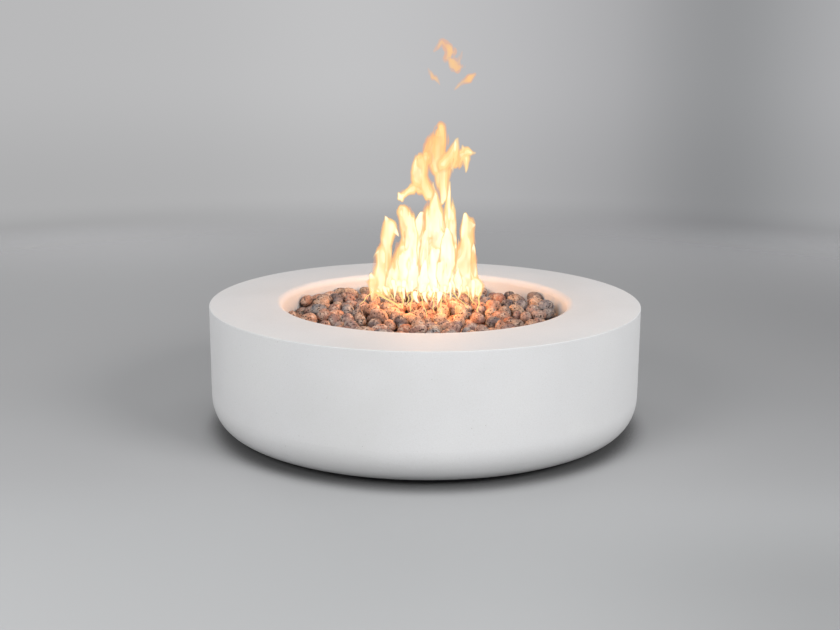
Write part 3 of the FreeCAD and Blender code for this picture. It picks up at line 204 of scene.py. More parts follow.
class Finish(Recipe):
    """The material of one finish. Place is the point on the object, in metres."""

    def __init__(self, name):
        self.material = bpy.data.materials.new(name)
        self.material.use_nodes = True
        super().__init__(self.material.node_tree)
        self.tree.nodes.clear()
        self.place = self.node("ShaderNodeTexCoord")["Object"]

    def cells(self, size, out="Distance", place=None):
        """Distance from the nearest of a scatter of points, in units of the scatter's spacing."""
        return self.node("ShaderNodeTexVoronoi", None,
                         {"Vector": place or self.place, "Scale": 1.0 / size})[out]

    def grain(self, size, detail=3.0, roughness=0.5, bend=0.0, place=None):
        return self.noise(place or self.place, 1.0 / size, detail, roughness, bend)

    def tone(self, reading, *stops):
        return self.ramp(reading, "LINEAR", *stops)

    def relief(self, height, depth, strength, on=None):
        sockets = {"Height": height, "Distance": depth, "Strength": strength}
        if on:
            sockets["Normal"] = on
        return self.node("ShaderNodeBump", None, sockets)["Normal"]

    def carried(self, name, out="Fac"):
        """A number or vector that the mesh itself carries."""
        return self.node("ShaderNodeAttribute", {"attribute_type": "GEOMETRY", "attribute_name": name})[out]

    def surface(self, **sockets):
        """The shader, with its sockets in words joined by underscores, and the finished material."""
        named = {key.replace("_", " "): value for key, value in sockets.items()}
        shader = self.node("ShaderNodeBsdfPrincipled", None, named)["BSDF"]
        return self.closed(shader)

    def closed(self, shader, socket="Surface"):
        self.node("ShaderNodeOutputMaterial", None, {socket: shader})
        return self.material


# ------------------------------------------------------------- finishes

def cast_concrete():
    """Sealed white concrete: cloudy, sandy close to, with painted shade in its few pinholes and towards the
    foot.
    """
    f = Finish("cast_concrete")
    cloud = f.grain(0.30, 4.0, 0.5, 0.3)
    sand = f.grain(0.0026, 4.0, 0.62)
    fleck = f.cells(0.011)
    hole = 1 - f.cells(0.034).over(0.018, 0.040)
    body = f.tone(cloud, (0.30, srgb(213, 213, 213)), (0.52, srgb(218, 218, 219)),
                  (0.74, srgb(221, 221, 221)))
    sandy = f.mix(sand.over(0.30, 0.72) * 0.32, body, srgb(201, 200, 198))
    flecked = f.mix((1 - fleck.over(0.04, 0.16)) * 0.20, sandy, srgb(168, 165, 160))
    # painted shade: the concrete is darker towards the foot, where less light reaches it
    foot = f.axis("Z", f.place).over(0.118, 0.030) * (0.75 + cloud * 0.5)
    scuffed = f.mix(foot * 0.30, flecked, srgb(158, 158, 158))
    # painted shade: the pinholes are darkened as if shade fell in them
    pore_shaded = f.mix(hole * 0.55, scuffed, srgb(128, 125, 121))
    skin = f.relief(sand + f.grain(0.016, 3.0) * 0.6, 0.0004, 0.45)
    return f.surface(Base_Color=pore_shaded, Roughness=0.60 + cloud * 0.14, Specular_IOR_Level=0.30,
                     Normal=f.relief(-hole, 0.0016, 0.7, skin))


def coated_steel(name, dark, light, orange_peel=0.00022):
    """Powder coat: an even satin colour over a fine orange-peel skin, a little dusty in patches."""
    f = Finish(name)
    peel = f.grain(0.0016, 2.0)
    dust = f.grain(0.045, 4.0, 0.6).over(0.42, 0.75)
    return f.surface(Base_Color=f.mix(dust * 0.6, dark, light), Roughness=0.38 + dust * 0.2,
                     Specular_IOR_Level=0.5, Normal=f.relief(peel, orange_peel, 0.6))


def bare_metal(name, clean, dull, polish, patch=0.03):
    """Metal with duller patches of a given size over a fine grain."""
    f = Finish(name)
    tarnish = f.grain(patch, 4.0, 0.6).over(0.38, 0.72)
    return f.surface(Base_Color=f.mix(tarnish * 0.75, clean, dull), Metallic=1.0,
                     Roughness=polish + tarnish * 0.16,
                     Normal=f.relief(f.grain(0.0011, 2.0), 0.00006, 0.5))


def heated_stainless():
    """Stainless steel that has been in the fire: straw, brown and blue where it ran hottest, sooty on top."""
    f = Finish("heated_stainless")
    level = f.node("ShaderNodeVectorMath", {"operation": "MULTIPLY"}, {0: f.place, 1: (1.0, 1.0, 0.0)})
    across = f.length(level["Vector"])
    heat = (across + (f.grain(0.03, 3.0) - 0.5) * 0.05).over(0.26, 0.09)
    colour = f.tone(heat, (0.0, (0.56, 0.56, 0.55)), (0.35, (0.55, 0.46, 0.30)), (0.62, (0.36, 0.22, 0.14)),
                    (0.82, (0.20, 0.19, 0.26)), (1.0, (0.25, 0.24, 0.25)))
    soot = f.grain(0.018, 4.0, 0.6).over(0.50, 0.78)
    lines = f.grain(0.0012, 2.0)
    return f.surface(Base_Color=f.mix(soot * 0.6, colour, (0.07, 0.06, 0.055)), Metallic=1.0 - soot * 0.4,
                     Roughness=0.30 + soot * 0.35, Normal=f.relief(lines, 0.00006, 0.5))


def moulded(name, colour, worn, rough, texture=0.00010, size=0.0009):
    """Moulded plastic or rubber with a fine spark-eroded skin, scuffed a little in patches."""
    f = Finish(name)
    scuff = f.grain(0.016, 4.0, 0.62).over(0.50, 0.80)
    return f.surface(Base_Color=f.mix(scuff * 0.5, colour, worn), Roughness=rough + scuff * 0.14,
                     Specular_IOR_Level=0.45, Normal=f.relief(f.grain(size, 2.0), texture, 0.5))


def knob_plastic():
    """Moulded black plastic, with white paint in the groove that points to the setting."""
    f = Finish("knob_plastic")
    low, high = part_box("valve_knob")
    middle = (low + high) / 2
    half_width, paint_depth, start, blur = 0.0010, 0.0013, 0.0040, 0.0001
    scuff = f.grain(0.016, 4.0, 0.62).over(0.50, 0.80)
    beside = abs(f.axis("X", f.place) - middle.x).over(half_width + blur, half_width - blur)
    behind = f.axis("Y", f.place).over(high.y - paint_depth - blur, high.y - paint_depth + blur)
    above = f.axis("Z", f.place).over(middle.z + start - 2 * blur, middle.z + start + 2 * blur)
    groove = beside * behind * above
    body = f.mix(scuff * 0.5, (0.020, 0.020, 0.022), (0.050, 0.050, 0.052))
    worn_paint = groove * (1 - f.grain(0.0012, 3.0).over(0.58, 0.70) * 0.6)
    return f.surface(Base_Color=f.mix(worn_paint, body, (0.70, 0.70, 0.68)), Roughness=0.38 + scuff * 0.14,
                     Specular_IOR_Level=0.45, Normal=f.relief(f.grain(0.0009, 2.0), 0.00010, 0.5))


def glazed_ceramic():
    """White glaze, faintly cloudy, with brown specks from the firing."""
    f = Finish("glazed_ceramic")
    cloud = f.grain(0.006, 3.0)
    speck = 1 - f.cells(0.0035).over(0.05, 0.14)
    body = f.mix(cloud * 0.5, (0.86, 0.84, 0.80), (0.74, 0.71, 0.65))
    return f.surface(Base_Color=f.mix(speck * 0.5, body, (0.35, 0.24, 0.15)), Roughness=0.10 + cloud * 0.08,
                     Normal=f.relief(cloud, 0.00008, 0.4))


def lava_stone():
    """Tumbled lava: each stone its own brown, plum or grey, dusted paler, with open pores darkened by painted
    shade.
    """
    f = Finish("lava_stone")
    own = f.carried("own", "Vector")
    inside = f.shifted(f.place, own)
    hue = f.tone(f.carried("tint"), (0.0, srgb(132, 111, 110)), (0.17, srgb(186, 142, 120)),
                 (0.33, srgb(130, 130, 134)), (0.50, srgb(170, 117, 95)), (0.67, srgb(196, 164, 140)),
                 (0.83, srgb(102, 93, 96)), (1.0, srgb(168, 138, 124)))
    patch = f.grain(0.018, 4.0, 0.62, place=inside)
    dusted = f.mix(patch.over(0.46, 0.72) * 0.70, hue, srgb(218, 203, 188))
    dark = f.mix(patch.over(0.44, 0.24) * 0.72, dusted, srgb(86, 66, 61))
    pore = 1 - f.cells(0.0062, place=inside).over(0.22, 0.46)
    small = 1 - f.cells(0.0026, place=inside).over(0.18, 0.42)
    open_pores = pore * f.grain(0.013, 3.0, place=inside).over(0.38, 0.56)
    # painted shade: the open pores are darkened as if shade fell in them
    pore_shaded = f.mix(open_pores * 0.88, dark, srgb(34, 26, 25))
    grit = f.grain(0.0024, 4.0, 0.7, place=inside)
    height = grit * 0.7 - open_pores * 1.4 - small * 0.4
    # painted shade also darkens the small pores
    return f.surface(Base_Color=f.mix(small * 0.68, pore_shaded, srgb(66, 52, 49)), Roughness=0.86 + grit * 0.12,
                     Specular_IOR_Level=0.25, Normal=f.relief(height, 0.0018, 0.9))


def lava_crumb():
    """The bed under the stones: small dark broken lava."""
    f = Finish("lava_crumb")
    tint = f.cells(0.009, out="Color")
    lump = f.grain(0.004, 4.0, 0.65)
    body = f.mix(lump.over(0.3, 0.75), srgb(52, 42, 41), srgb(116, 96, 90))
    return f.surface(Base_Color=f.mix(0.18, body, tint, "SOFT_LIGHT"), Roughness=0.88 + lump * 0.1,
                     Specular_IOR_Level=0.25, Normal=f.relief(lump - f.cells(0.0035), 0.002, 0.9))


finishes = {
    "concrete": cast_concrete(),
    "brass": bare_metal("turned_brass", (0.78, 0.60, 0.31), (0.50, 0.36, 0.18), 0.26),
    "black_coated_steel": coated_steel("black_powder_coat", (0.018, 0.018, 0.020), (0.055, 0.053, 0.050)),
    "zinc_steel": bare_metal("zinc_plate", (0.66, 0.67, 0.69), (0.50, 0.50, 0.47), 0.30, patch=0.012),
    "stainless": heated_stainless(),
    "rubber": moulded("black_rubber", (0.022, 0.022, 0.022), (0.060, 0.057, 0.052), 0.72, 0.0002, 0.0014),
    "nylon": moulded("grey_nylon", (0.050, 0.050, 0.055), (0.085, 0.083, 0.080), 0.55),
    "die_cast": bare_metal("die_cast_alloy", (0.62, 0.62, 0.63), (0.42, 0.42, 0.41), 0.46, patch=0.009),
    "black_plastic": moulded("black_plastic", (0.020, 0.020, 0.022), (0.050, 0.050, 0.052), 0.38),
    "chrome": bare_metal("chrome_plate", (0.78, 0.78, 0.79), (0.62, 0.62, 0.62), 0.07, patch=0.020),
    "red_coated_steel": coated_steel("red_dip_coat", (0.46, 0.020, 0.014), (0.56, 0.060, 0.040), 0.0001),
    "copper": bare_metal("drawn_copper", (0.78, 0.44, 0.30), (0.42, 0.22, 0.14), 0.28, patch=0.020),
    "ceramic": glazed_ceramic(),
    "lead_sleeve": moulded("lead_sleeve", (0.075, 0.075, 0.078), (0.12, 0.118, 0.115), 0.48),
    "lava": lava_stone(),
    "lava_base": lava_crumb(),
}

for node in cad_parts.values():
    for slot in node.material_slots:
        slot.material = finishes[slot.material.name.split(".")[0]]
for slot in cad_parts["valve_knob"].material_slots:
    slot.material = knob_plastic()


# ------------------------------------------------------------- generators

class Generator(Recipe):
    """A Geometry Nodes tree whose sizes are named inputs, worked on a mesh and left as a plain piece."""

    def __init__(self, name):
        super().__init__(bpy.data.node_groups.new(name, "GeometryNodeTree"))
        self.tree.interface.new_socket("Geometry", in_out="INPUT", socket_type="NodeSocketGeometry")
        self.tree.interface.new_socket("Geometry", in_out="OUTPUT", socket_type="NodeSocketGeometry")
        self.values = {}
        self.entry = self.node("NodeGroupInput")
        self.geometry = self.entry["Geometry"]

    def size(self, name, value):
        kind = {int: "NodeSocketInt", float: "NodeSocketFloat"}.get(type(value), "NodeSocketMaterial")
        made = self.tree.interface.new_socket(name, in_out="INPUT", socket_type=kind)
        self.values[made.identifier] = value
        return self.entry[name]

    def carried(self, name):
        """A vector that the mesh itself carries."""
        return self.node("GeometryNodeInputNamedAttribute", {"data_type": "FLOAT_VECTOR"},
                         {"Name": name})["Attribute"]

    def close(self, geometry, finish):
        dressed = self.node("GeometryNodeSetMaterial", None,
                            {"Geometry": geometry, "Material": self.size("Finish", finish)})["Geometry"]
        self.node("NodeGroupOutput", None, {"Geometry": dressed})

    def piece(self, name, mesh, body, slot, *stands_for):
        """Works the tree on the mesh, and leaves a plain piece on a body in the place of CAD pieces."""
        worked = placed(name + "_points", mesh)
        modifier = worked.modifiers.new("make", "NODES")
        modifier.node_group = self.tree
        for identifier, value in self.values.items():
            modifier[identifier] = value
        graph = bpy.context.evaluated_depsgraph_get()
        plain = bpy.data.meshes.new_from_object(worked.evaluated_get(graph), preserve_all_data_layers=True,
                                                depsgraph=graph)
        bpy.data.objects.remove(worked)
        made = placed(name, plain)
        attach(made, body)
        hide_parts(*stands_for)


def point_mesh(name, places, **carried):
    """A mesh of bare points that carries one value for each point under each name."""
    mesh = bpy.data.meshes.new(name)
    mesh.from_pydata([tuple(p) for p in places], [], [])
    for key, values in carried.items():
        values = np.asarray(values, np.float32)
        layer = mesh.attributes.new(key, "FLOAT_VECTOR" if values.ndim == 2 else "FLOAT", "POINT")
        layer.data.foreach_set("vector" if values.ndim == 2 else "value", values.ravel())
    return mesh


# ------------------------------------------------------------- the lava stones

# The stones as they are poured, in metres: the radius of a stone's two balls, how far apart they are
# held, and the height and greatest distance from the middle at which they start.
STONES = 500
BALL_RADII = (0.0144, 0.0196)
BALL_GAPS = (0.006, 0.025)
POUR_HEIGHTS = (0.285, 0.40)
POUR_RADIUS = 0.380
# They sink for most of the steps, and in the last ones they only make room for each other.
SETTLING_STEPS = 300
SINKING_STEPS = 240
SINK = 0.0016
# Neighbours are looked for again after so many steps, within so much of touching. In each step stones
# that overlap are pushed apart so many times, each by a share of the overlap.
LOOK_AGAIN = 6
NEAR = 0.012
PUSHES = 5
PUSHED = 0.30
HAIR = 0.001
NO_LESS = 1e-6


def settled(count, chance):
    """Pours stones into the well and lets them come to rest on the bed, the burner and each other.
    A stone is a pair of balls held apart. Returns the balls, as count x 2 x 3, and their radii."""
    radius = chance.uniform(*BALL_RADII, count)
    reach = chance.uniform(*BALL_GAPS, count)
    out = np.sqrt(chance.uniform(0, 1, count)) * POUR_RADIUS
    around, turn = chance.uniform(0, 2 * np.pi, (2, count))
    middle = np.stack((out * np.cos(around), out * np.sin(around), chance.uniform(*POUR_HEIGHTS, count)), 1)
    lie = np.stack((np.cos(turn), np.sin(turn), chance.uniform(-0.25, 0.25, count)), 1)
    lie /= np.linalg.norm(lie, axis=1)[:, None]
    ball = np.stack((middle - lie * reach[:, None] / 2, middle + lie * reach[:, None] / 2), 1).reshape(-1, 3)
    r = np.repeat(radius, 2)
    stone = np.repeat(np.arange(count), 2)

    def cleared(near, keep):
        """Moves the balls out to a distance from the nearest points of what stands in the well."""
        away = ball - near
        gap = np.linalg.norm(away, axis=1)
        short = np.clip(keep - gap, 0, None)
        ball[:] += away / np.maximum(gap, NO_LESS)[:, None] * short[:, None]

    for step in range(SETTLING_STEPS):
        if step % LOOK_AGAIN == 0:
            apart = np.linalg.norm(ball[:, None] - ball[None], axis=2)
            one, two = np.nonzero(np.triu(apart < r[:, None] + r[None] + NEAR, 1))
            other = stone[one] != stone[two]
            one, two = one[other], two[other]
        sinking = step < SINKING_STEPS
        ball[:, 2] -= SINK if sinking else 0.0
        for _ in range(PUSHES):
            away = ball[two] - ball[one]
            gap = np.maximum(np.linalg.norm(away, axis=1), NO_LESS)
            push = away * (np.clip(r[one] + r[two] - gap, 0, None) / gap * PUSHED)[:, None]
            for a in range(3):
                gained = np.bincount(two, push[:, a], len(ball))
                given = np.bincount(one, push[:, a], len(ball))
                ball[:, a] += gained - given
            pair = ball.reshape(-1, 2, 3)
            along = pair[:, 1] - pair[:, 0]
            length = np.maximum(np.linalg.norm(along, axis=1), NO_LESS)
            fix = along * ((length - reach) / length / 2)[:, None]
            pair[:, 0] += fix
            pair[:, 1] -= fix
            flat = np.maximum(np.hypot(ball[:, 0], ball[:, 1]), NO_LESS)
            ring = np.stack((ball[:, 0] / flat * RING_RADIUS, ball[:, 1] / flat * RING_RADIUS,
                             np.full(len(ball), RING_HEIGHT)), 1)
            cleared(ring, RING_TUBE + r)
            for axis in (0, 1):
                spoke = np.zeros_like(ball)
                spoke[:, 2] = RING_HEIGHT
                spoke[:, axis] = np.clip(ball[:, axis], -RING_RADIUS, RING_RADIUS)
                cleared(spoke, SPOKE_RADIUS + r)
            cleared(np.array([[0, 0, RING_HEIGHT]]), HUB_RADIUS + r)
            cleared(np.clip(ball, np.array(HOOD[0]), np.array(HOOD[1])), r + HAIR)
            ball[:, 2] = np.maximum(ball[:, 2], BED_TOP + r)
            if not sinking:
                ball[:, 2] = np.minimum(ball[:, 2], PILE_TOP - r)
            flat = np.maximum(np.hypot(ball[:, 0], ball[:, 1]), NO_LESS)
            inward = np.minimum(1.0, (WELL_RADIUS - HAIR - r) / flat)
            ball[:, :2] *= inward[:, None]
    return ball.reshape(-1, 2, 3), radius


def stone_pile():
    """Egg-shaped stones, no two alike, lying as they settled."""
    chance = np.random.default_rng(SEED)
    balls, radius = settled(STONES, chance)
    along = balls[:, 1] - balls[:, 0]
    length = np.linalg.norm(along, axis=1)
    lie = along / length[:, None]
    turn = [Vector(a).to_track_quat("X", "Z").to_euler() for a in lie]
    waist = chance.uniform(0.90, 1.06, (STONES, 2))
    half = np.stack((length / 2 + radius * 0.97, radius * waist[:, 0], radius * waist[:, 1]), 1)
    points = point_mesh("stone_points", balls.mean(1), half=half, turn=[tuple(t) for t in turn],
                        own=chance.uniform(-3, 3, (STONES, 3)), tint=chance.uniform(0, 1, STONES))

    g = Generator("stone_pile")
    side = g.size("Points along a side", 5)
    lump = g.size("Lump height", 0.0038)
    spread = g.size("Lumps to the metre", 38.0)
    cube = g.node("GeometryNodeMeshCube", None,
                  {"Vertices X": side, "Vertices Y": side, "Vertices Z": side})["Mesh"]
    place = g.node("GeometryNodeInputPosition")["Position"]
    round_ = g.node("ShaderNodeVectorMath", {"operation": "NORMALIZE"}, {0: place})["Vector"]
    pebble = g.node("GeometryNodeSetPosition", None, {"Geometry": cube, "Position": round_})["Geometry"]
    rotation = g.node("FunctionNodeEulerToRotation", None, {"Euler": g.carried("turn")})["Rotation"]
    laid = g.node("GeometryNodeInstanceOnPoints", None,
                  {"Points": g.geometry, "Instance": pebble, "Rotation": rotation,
                   "Scale": g.carried("half")})["Instances"]
    stones = g.node("GeometryNodeRealizeInstances", None, {"Geometry": laid})["Geometry"]
    bump = g.noise(g.shifted(place, g.carried("own")), spread, 2.0, 0.5) - 0.5
    normal = g.node("GeometryNodeInputNormal")["Normal"]
    offset = g.node("ShaderNodeVectorMath", {"operation": "SCALE"},
                    {0: normal, "Scale": bump * lump})["Vector"]
    lumpy = g.node("GeometryNodeSetPosition", None, {"Geometry": stones, "Offset": offset})["Geometry"]
    smooth = g.node("GeometryNodeSetShadeSmooth", None, {"Geometry": lumpy})["Geometry"]
    g.close(smooth, finishes["lava"])
    g.piece("lava_stone_pile", points, "casing", "lava", "lava_stones")


def granule_bed():
    """The bed's own solid with loose crumbs of lava scattered over its top."""
    g = Generator("granule_bed")
    spacing = g.size("Crumb spacing", 0.0082)
    crowd = g.size("Crumbs to the square metre", 9000.0)
    small = g.size("Smallest crumb", 0.0026)
    large = g.size("Largest crumb", 0.0050)
    seed = g.size("Seed", SEED)
    upward = g.axis("Z", g.node("GeometryNodeInputNormal")["Normal"])
    height = g.axis("Z", g.node("GeometryNodeInputPosition")["Position"])
    top = upward.over(0.8, 0.9) * height.over(BED_TOP - 2 * HAIR, BED_TOP - HAIR)
    spots = g.node("GeometryNodeDistributePointsOnFaces", {"distribute_method": "POISSON"},
                   {"Mesh": g.geometry, "Distance Min": spacing, "Density Max": crowd,
                    "Density Factor": top, "Seed": seed})["Points"]
    turn = g.node("FunctionNodeRandomValue", {"data_type": "FLOAT_VECTOR"},
                  {"Min": (0, 0, 0), "Max": (math.tau,) * 3, "Seed": seed})["Value"]
    rotation = g.node("FunctionNodeEulerToRotation", None, {"Euler": turn})["Rotation"]
    size = g.node("FunctionNodeRandomValue", {"data_type": "FLOAT"},
                  {"Min": small, "Max": large, "Seed": seed})["Value"]
    crumb = g.node("GeometryNodeMeshIcoSphere", None, {"Radius": 1.0, "Subdivisions": 1})["Mesh"]
    laid = g.node("GeometryNodeInstanceOnPoints", None,
                  {"Points": spots, "Instance": crumb, "Rotation": rotation, "Scale": size})["Instances"]
    crumbs = g.node("GeometryNodeRealizeInstances", None, {"Geometry": laid})["Geometry"]
    both = g.node("GeometryNodeJoinGeometry")
    for part in (g.geometry, crumbs):
        g.tree.links.new(part.socket, both.made.inputs[0])
    g.close(both["Geometry"], finishes["lava_base"])
    g.piece("lava_granule_bed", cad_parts["lava_granules"].data.copy(), "casing", "lava_base",
            "lava_granules")


stone_pile()
granule_bed()


# ------------------------------------------------------------- the studio

FLOOR_RADIUS = 6.0
FLOOR_CORNERS = 96
AIR_LIGHT = 0.33
BLACK = (0.0, 0.0, 0.0)
WHITE = (1.0, 1.0, 1.0)


def plain_mesh(name, points, faces, finish, smooth=False):
    mesh = bpy.data.meshes.new(name)
    mesh.from_pydata(points, [], faces)
    mesh.materials.append(finish)
    mesh.polygons.foreach_set("use_smooth", [smooth] * len(faces))
    return placed(name, mesh)


def studio_floor():
    """A pale grey painted floor with painted light: lighter towards the front left, with painted shade round
    the pit, and it ends softly far behind. A painted contact shadow darkens it where the air above it is
    closed in, as under the pit."""
    f = Finish("studio_paint")
    x, y = f.axis("X", f.place), f.axis("Y", f.place)
    # painted light: the grey falls off from front to back, with painted shade in a band in front of and under
    # the pit
    front = f.ramp((y + 1.4) / 4.6, "B_SPLINE",
                   (0.00, srgb(187, 188, 189)), (0.13, srgb(188, 189, 190)), (0.20, srgb(182, 182, 183)),
                   (0.32, srgb(177, 177, 178)), (0.44, srgb(182, 182, 183)), (0.62, srgb(177, 177, 178)),
                   (0.80, srgb(173, 173, 174)), (1.0, srgb(172, 172, 174)))
    # painted light: darker towards the right, made lighter again far behind, darker far out on both sides
    # behind, and painted shade in the front right corner
    side = f.ramp((x + 1.5) / 3.4, "EASE",
                  (0.0, WHITE), (0.45, (0.92, 0.92, 0.92)), (1.0, (0.70, 0.70, 0.705)))
    side = f.mix(y.over(1.2, 3.2) * 0.50, side, WHITE)
    side = f.mix(abs(x).over(0.7, 2.4) * y.over(1.2, 3.0) * 0.20, side, BLACK)
    side = f.mix(x.over(0.05, 0.85) * y.over(-0.65, -1.15) * 0.20, side, BLACK)
    # painted contact shadow: where the ambient occlusion is low, under and round the pit, the grey goes
    # nearly black
    open_air = f.node("ShaderNodeAmbientOcclusion", {"samples": 8}, {"Distance": 0.085})["AO"]
    grey = f.mix(1.0, front, side, "MULTIPLY")
    paint = f.mix(open_air.over(0.98, 0.30) ** 2 * 0.72, grey, (0.004, 0.004, 0.004))
    shown = f.node("ShaderNodeBsdfDiffuse", None, {"Color": paint})["BSDF"]
    gone = f.node("ShaderNodeBsdfTransparent")["BSDF"]
    far = f.length(f.place).over(1.6, 5.4)
    both = f.node("ShaderNodeMixShader", None, {0: far, 1: shown, 2: gone})["Shader"]
    rim = [(FLOOR_RADIUS * math.cos(a), FLOOR_RADIUS * math.sin(a), 0.0)
           for a in np.linspace(0, math.tau, FLOOR_CORNERS, endpoint=False)]
    plain_mesh("studio_floor", rim, [tuple(range(FLOOR_CORNERS))], f.closed(both))


def studio_air():
    """Grey studio light from all round, and the softly graded backdrop that the camera sees."""
    world = bpy.data.worlds.new("studio_air")
    bpy.context.scene.world = world
    world.use_nodes = True
    w = Recipe(world.node_tree)
    world.node_tree.nodes.clear()
    way = w.node("ShaderNodeTexCoord")["Generated"]
    side = w.ramp(w.axis("X", way) * 1.45 + 0.5, "B_SPLINE",
                  (0.0, srgb(184, 184, 185)), (0.25, srgb(187, 187, 188)), (0.42, srgb(198, 198, 199)),
                  (0.60, srgb(187, 187, 189)), (0.73, srgb(172, 172, 174)), (0.83, srgb(141, 142, 144)),
                  (0.91, srgb(158, 159, 161)), (1.0, srgb(180, 180, 182)))
    low = w.ramp((w.axis("Z", way) + 0.20) / 0.18, "EASE",
                 (0.0, (0.86, 0.86, 0.86)), (0.45, (0.88, 0.88, 0.88)), (1.0, WHITE))
    seen = w.node("ShaderNodeBackground", None,
                  {"Color": w.mix(1.0, side, low, "MULTIPLY"), "Strength": 1.0})["Background"]
    lit = w.node("ShaderNodeBackground", None,
                 {"Color": (0.97, 0.985, 1.0), "Strength": AIR_LIGHT})["Background"]
    ray = w.node("ShaderNodeLightPath")
    share = w.node("ShaderNodeMath", {"operation": "MAXIMUM"},
                   {0: ray["Is Camera Ray"], 1: ray["Is Transmission Ray"]})["Value"]
    both = w.node("ShaderNodeMixShader", None, {0: share, 1: lit, 2: seen})["Shader"]
    w.node("ShaderNodeOutputWorld", None, {"Surface": both})


# ------------------------------------------------------------- the fire

# Each lick of flame: how far back it stands, less than 0 in front of the middle, then its line from the
# root up, as sideways place, height and half width, in metres.
LICKS = [
    # the tall ones
    (-0.09, [(-0.128, 0.386, 0.009), (-0.111, 0.459, 0.017), (-0.114, 0.519, 0.013), (-0.099, 0.571, 0.015),
             (-0.108, 0.599, 0.002)]),
    (-0.02, [(-0.074, 0.373, 0.012), (-0.058, 0.455, 0.026), (-0.045, 0.527, 0.017), (-0.059, 0.603, 0.014)]),
    (0.03, [(-0.025, 0.365, 0.013), (-0.025, 0.440, 0.018), (-0.017, 0.552, 0.015), (-0.007, 0.585, 0.005)]),
    (0.00, [(0.017, 0.368, 0.015), (0.025, 0.450, 0.033), (0.025, 0.530, 0.029), (0.023, 0.595, 0.019),
            (0.023, 0.676, 0.002)]),
    (-0.07, [(0.049, 0.392, 0.011), (0.059, 0.460, 0.019), (0.058, 0.539, 0.009), (0.055, 0.563, 0.003)]),
    (0.05, [(0.080, 0.391, 0.015), (0.080, 0.487, 0.017), (0.067, 0.601, 0.011), (0.067, 0.665, 0.003)]),
    (-0.04, [(0.105, 0.385, 0.014), (0.109, 0.464, 0.020), (0.114, 0.560, 0.016), (0.105, 0.594, 0.005)]),
    # their side tips
    (-0.09, [(-0.095, 0.575, 0.011), (-0.077, 0.539, 0.002)]),
    (-0.09, [(-0.125, 0.500, 0.004), (-0.139, 0.474, 0.001)]),
    (-0.04, [(0.123, 0.560, 0.012), (0.139, 0.563, 0.002)]),
    (0.00, [(0.125, 0.459, 0.007), (0.131, 0.523, 0.005)]),
    # short ones round them
    (-0.10, [(-0.151, 0.367, 0.004), (-0.139, 0.412, 0.013), (-0.142, 0.431, 0.004)]),
    (0.06, [(-0.105, 0.351, 0.011), (-0.090, 0.410, 0.019), (-0.072, 0.465, 0.006)]),
    (-0.09, [(0.144, 0.382, 0.006), (0.142, 0.406, 0.012), (0.130, 0.443, 0.003)]),
    (0.10, [(-0.051, 0.360, 0.015), (-0.040, 0.415, 0.022), (-0.032, 0.476, 0.004)]),
    (0.11, [(0.043, 0.353, 0.022), (0.052, 0.402, 0.032), (0.047, 0.454, 0.024), (0.041, 0.530, 0.003)]),
    (-0.11, [(-0.008, 0.397, 0.008), (-0.005, 0.423, 0.012), (0.000, 0.479, 0.003)]),
    (-0.11, [(0.089, 0.399, 0.006), (0.091, 0.419, 0.010), (0.087, 0.459, 0.002)]),
    # the low bed that joins them
    (-0.03, [(-0.146, 0.385, 0.006), (-0.053, 0.398, 0.011), (0.050, 0.400, 0.011), (0.142, 0.388, 0.007)]),
    (0.04, [(-0.117, 0.375, 0.008), (0.009, 0.393, 0.014), (0.126, 0.379, 0.008)]),
    # the upper flame, from the neck up
    (0.01, [(0.042, 0.621, 0.008), (0.044, 0.677, 0.013), (0.046, 0.730, 0.014)]),
    (0.01, [(0.031, 0.710, 0.014), (0.024, 0.750, 0.020), (0.033, 0.790, 0.022), (0.037, 0.821, 0.016)]),
    (-0.01, [(0.050, 0.726, 0.013), (0.067, 0.746, 0.016), (0.087, 0.801, 0.002)]),
    (0.02, [(0.080, 0.736, 0.016), (0.113, 0.756, 0.010), (0.139, 0.758, 0.002)]),
    (0.02, [(0.108, 0.704, 0.002), (0.113, 0.740, 0.010)]),
    (0.00, [(0.071, 0.704, 0.002), (0.073, 0.736, 0.009)]),
    (0.02, [(0.103, 0.776, 0.002), (0.106, 0.762, 0.006)]),
    (-0.01, [(0.009, 0.653, 0.015), (-0.014, 0.694, 0.018), (0.004, 0.742, 0.016)]),
    (0.00, [(0.000, 0.631, 0.003), (-0.002, 0.647, 0.010)]),
    (0.00, [(-0.021, 0.659, 0.015), (-0.050, 0.655, 0.009), (-0.068, 0.639, 0.006)]),
    (0.00, [(-0.074, 0.655, 0.002), (-0.064, 0.643, 0.008), (-0.062, 0.628, 0.003)]),
    (-0.01, [(-0.016, 0.747, 0.002), (-0.025, 0.702, 0.011)]),
    # the curls that have broken off on top
    (0.00, [(0.024, 1.035, 0.004), (0.044, 1.059, 0.012), (0.067, 1.030, 0.015), (0.056, 1.013, 0.011),
            (0.081, 0.990, 0.017), (0.095, 0.992, 0.008)]),
    (0.00, [(0.099, 1.030, 0.003), (0.084, 1.000, 0.009)]),
    (-0.01, [(0.010, 0.991, 0.003), (0.021, 0.964, 0.011), (0.037, 0.942, 0.003)]),
    (0.01, [(0.079, 0.937, 0.003), (0.112, 0.960, 0.011), (0.131, 0.970, 0.005)]),
]
# Low licks in the bed and behind it, as sideways place and distance back.
BED_LICKS = [(-0.103, -0.03), (-0.038, -0.04), (0.013, -0.03), (0.072, -0.03), (0.124, -0.03)]
REAR_LICKS = [(-0.141, 0.05), (-0.093, 0.12), (-0.006, 0.13), (0.083, 0.12), (0.138, 0.06)]
# How many times its half width a lick reaches, how much flatter than wide it is, and how far round it the
# air is looked at.
LICK_SPREAD = 1.55
LICK_FLATNESS = 1.15
LICK_MARGIN = 0.02
# The thin short licks at the foot, between the stones.
ROOTS = 26
FIRE_SEED = SEED + 5
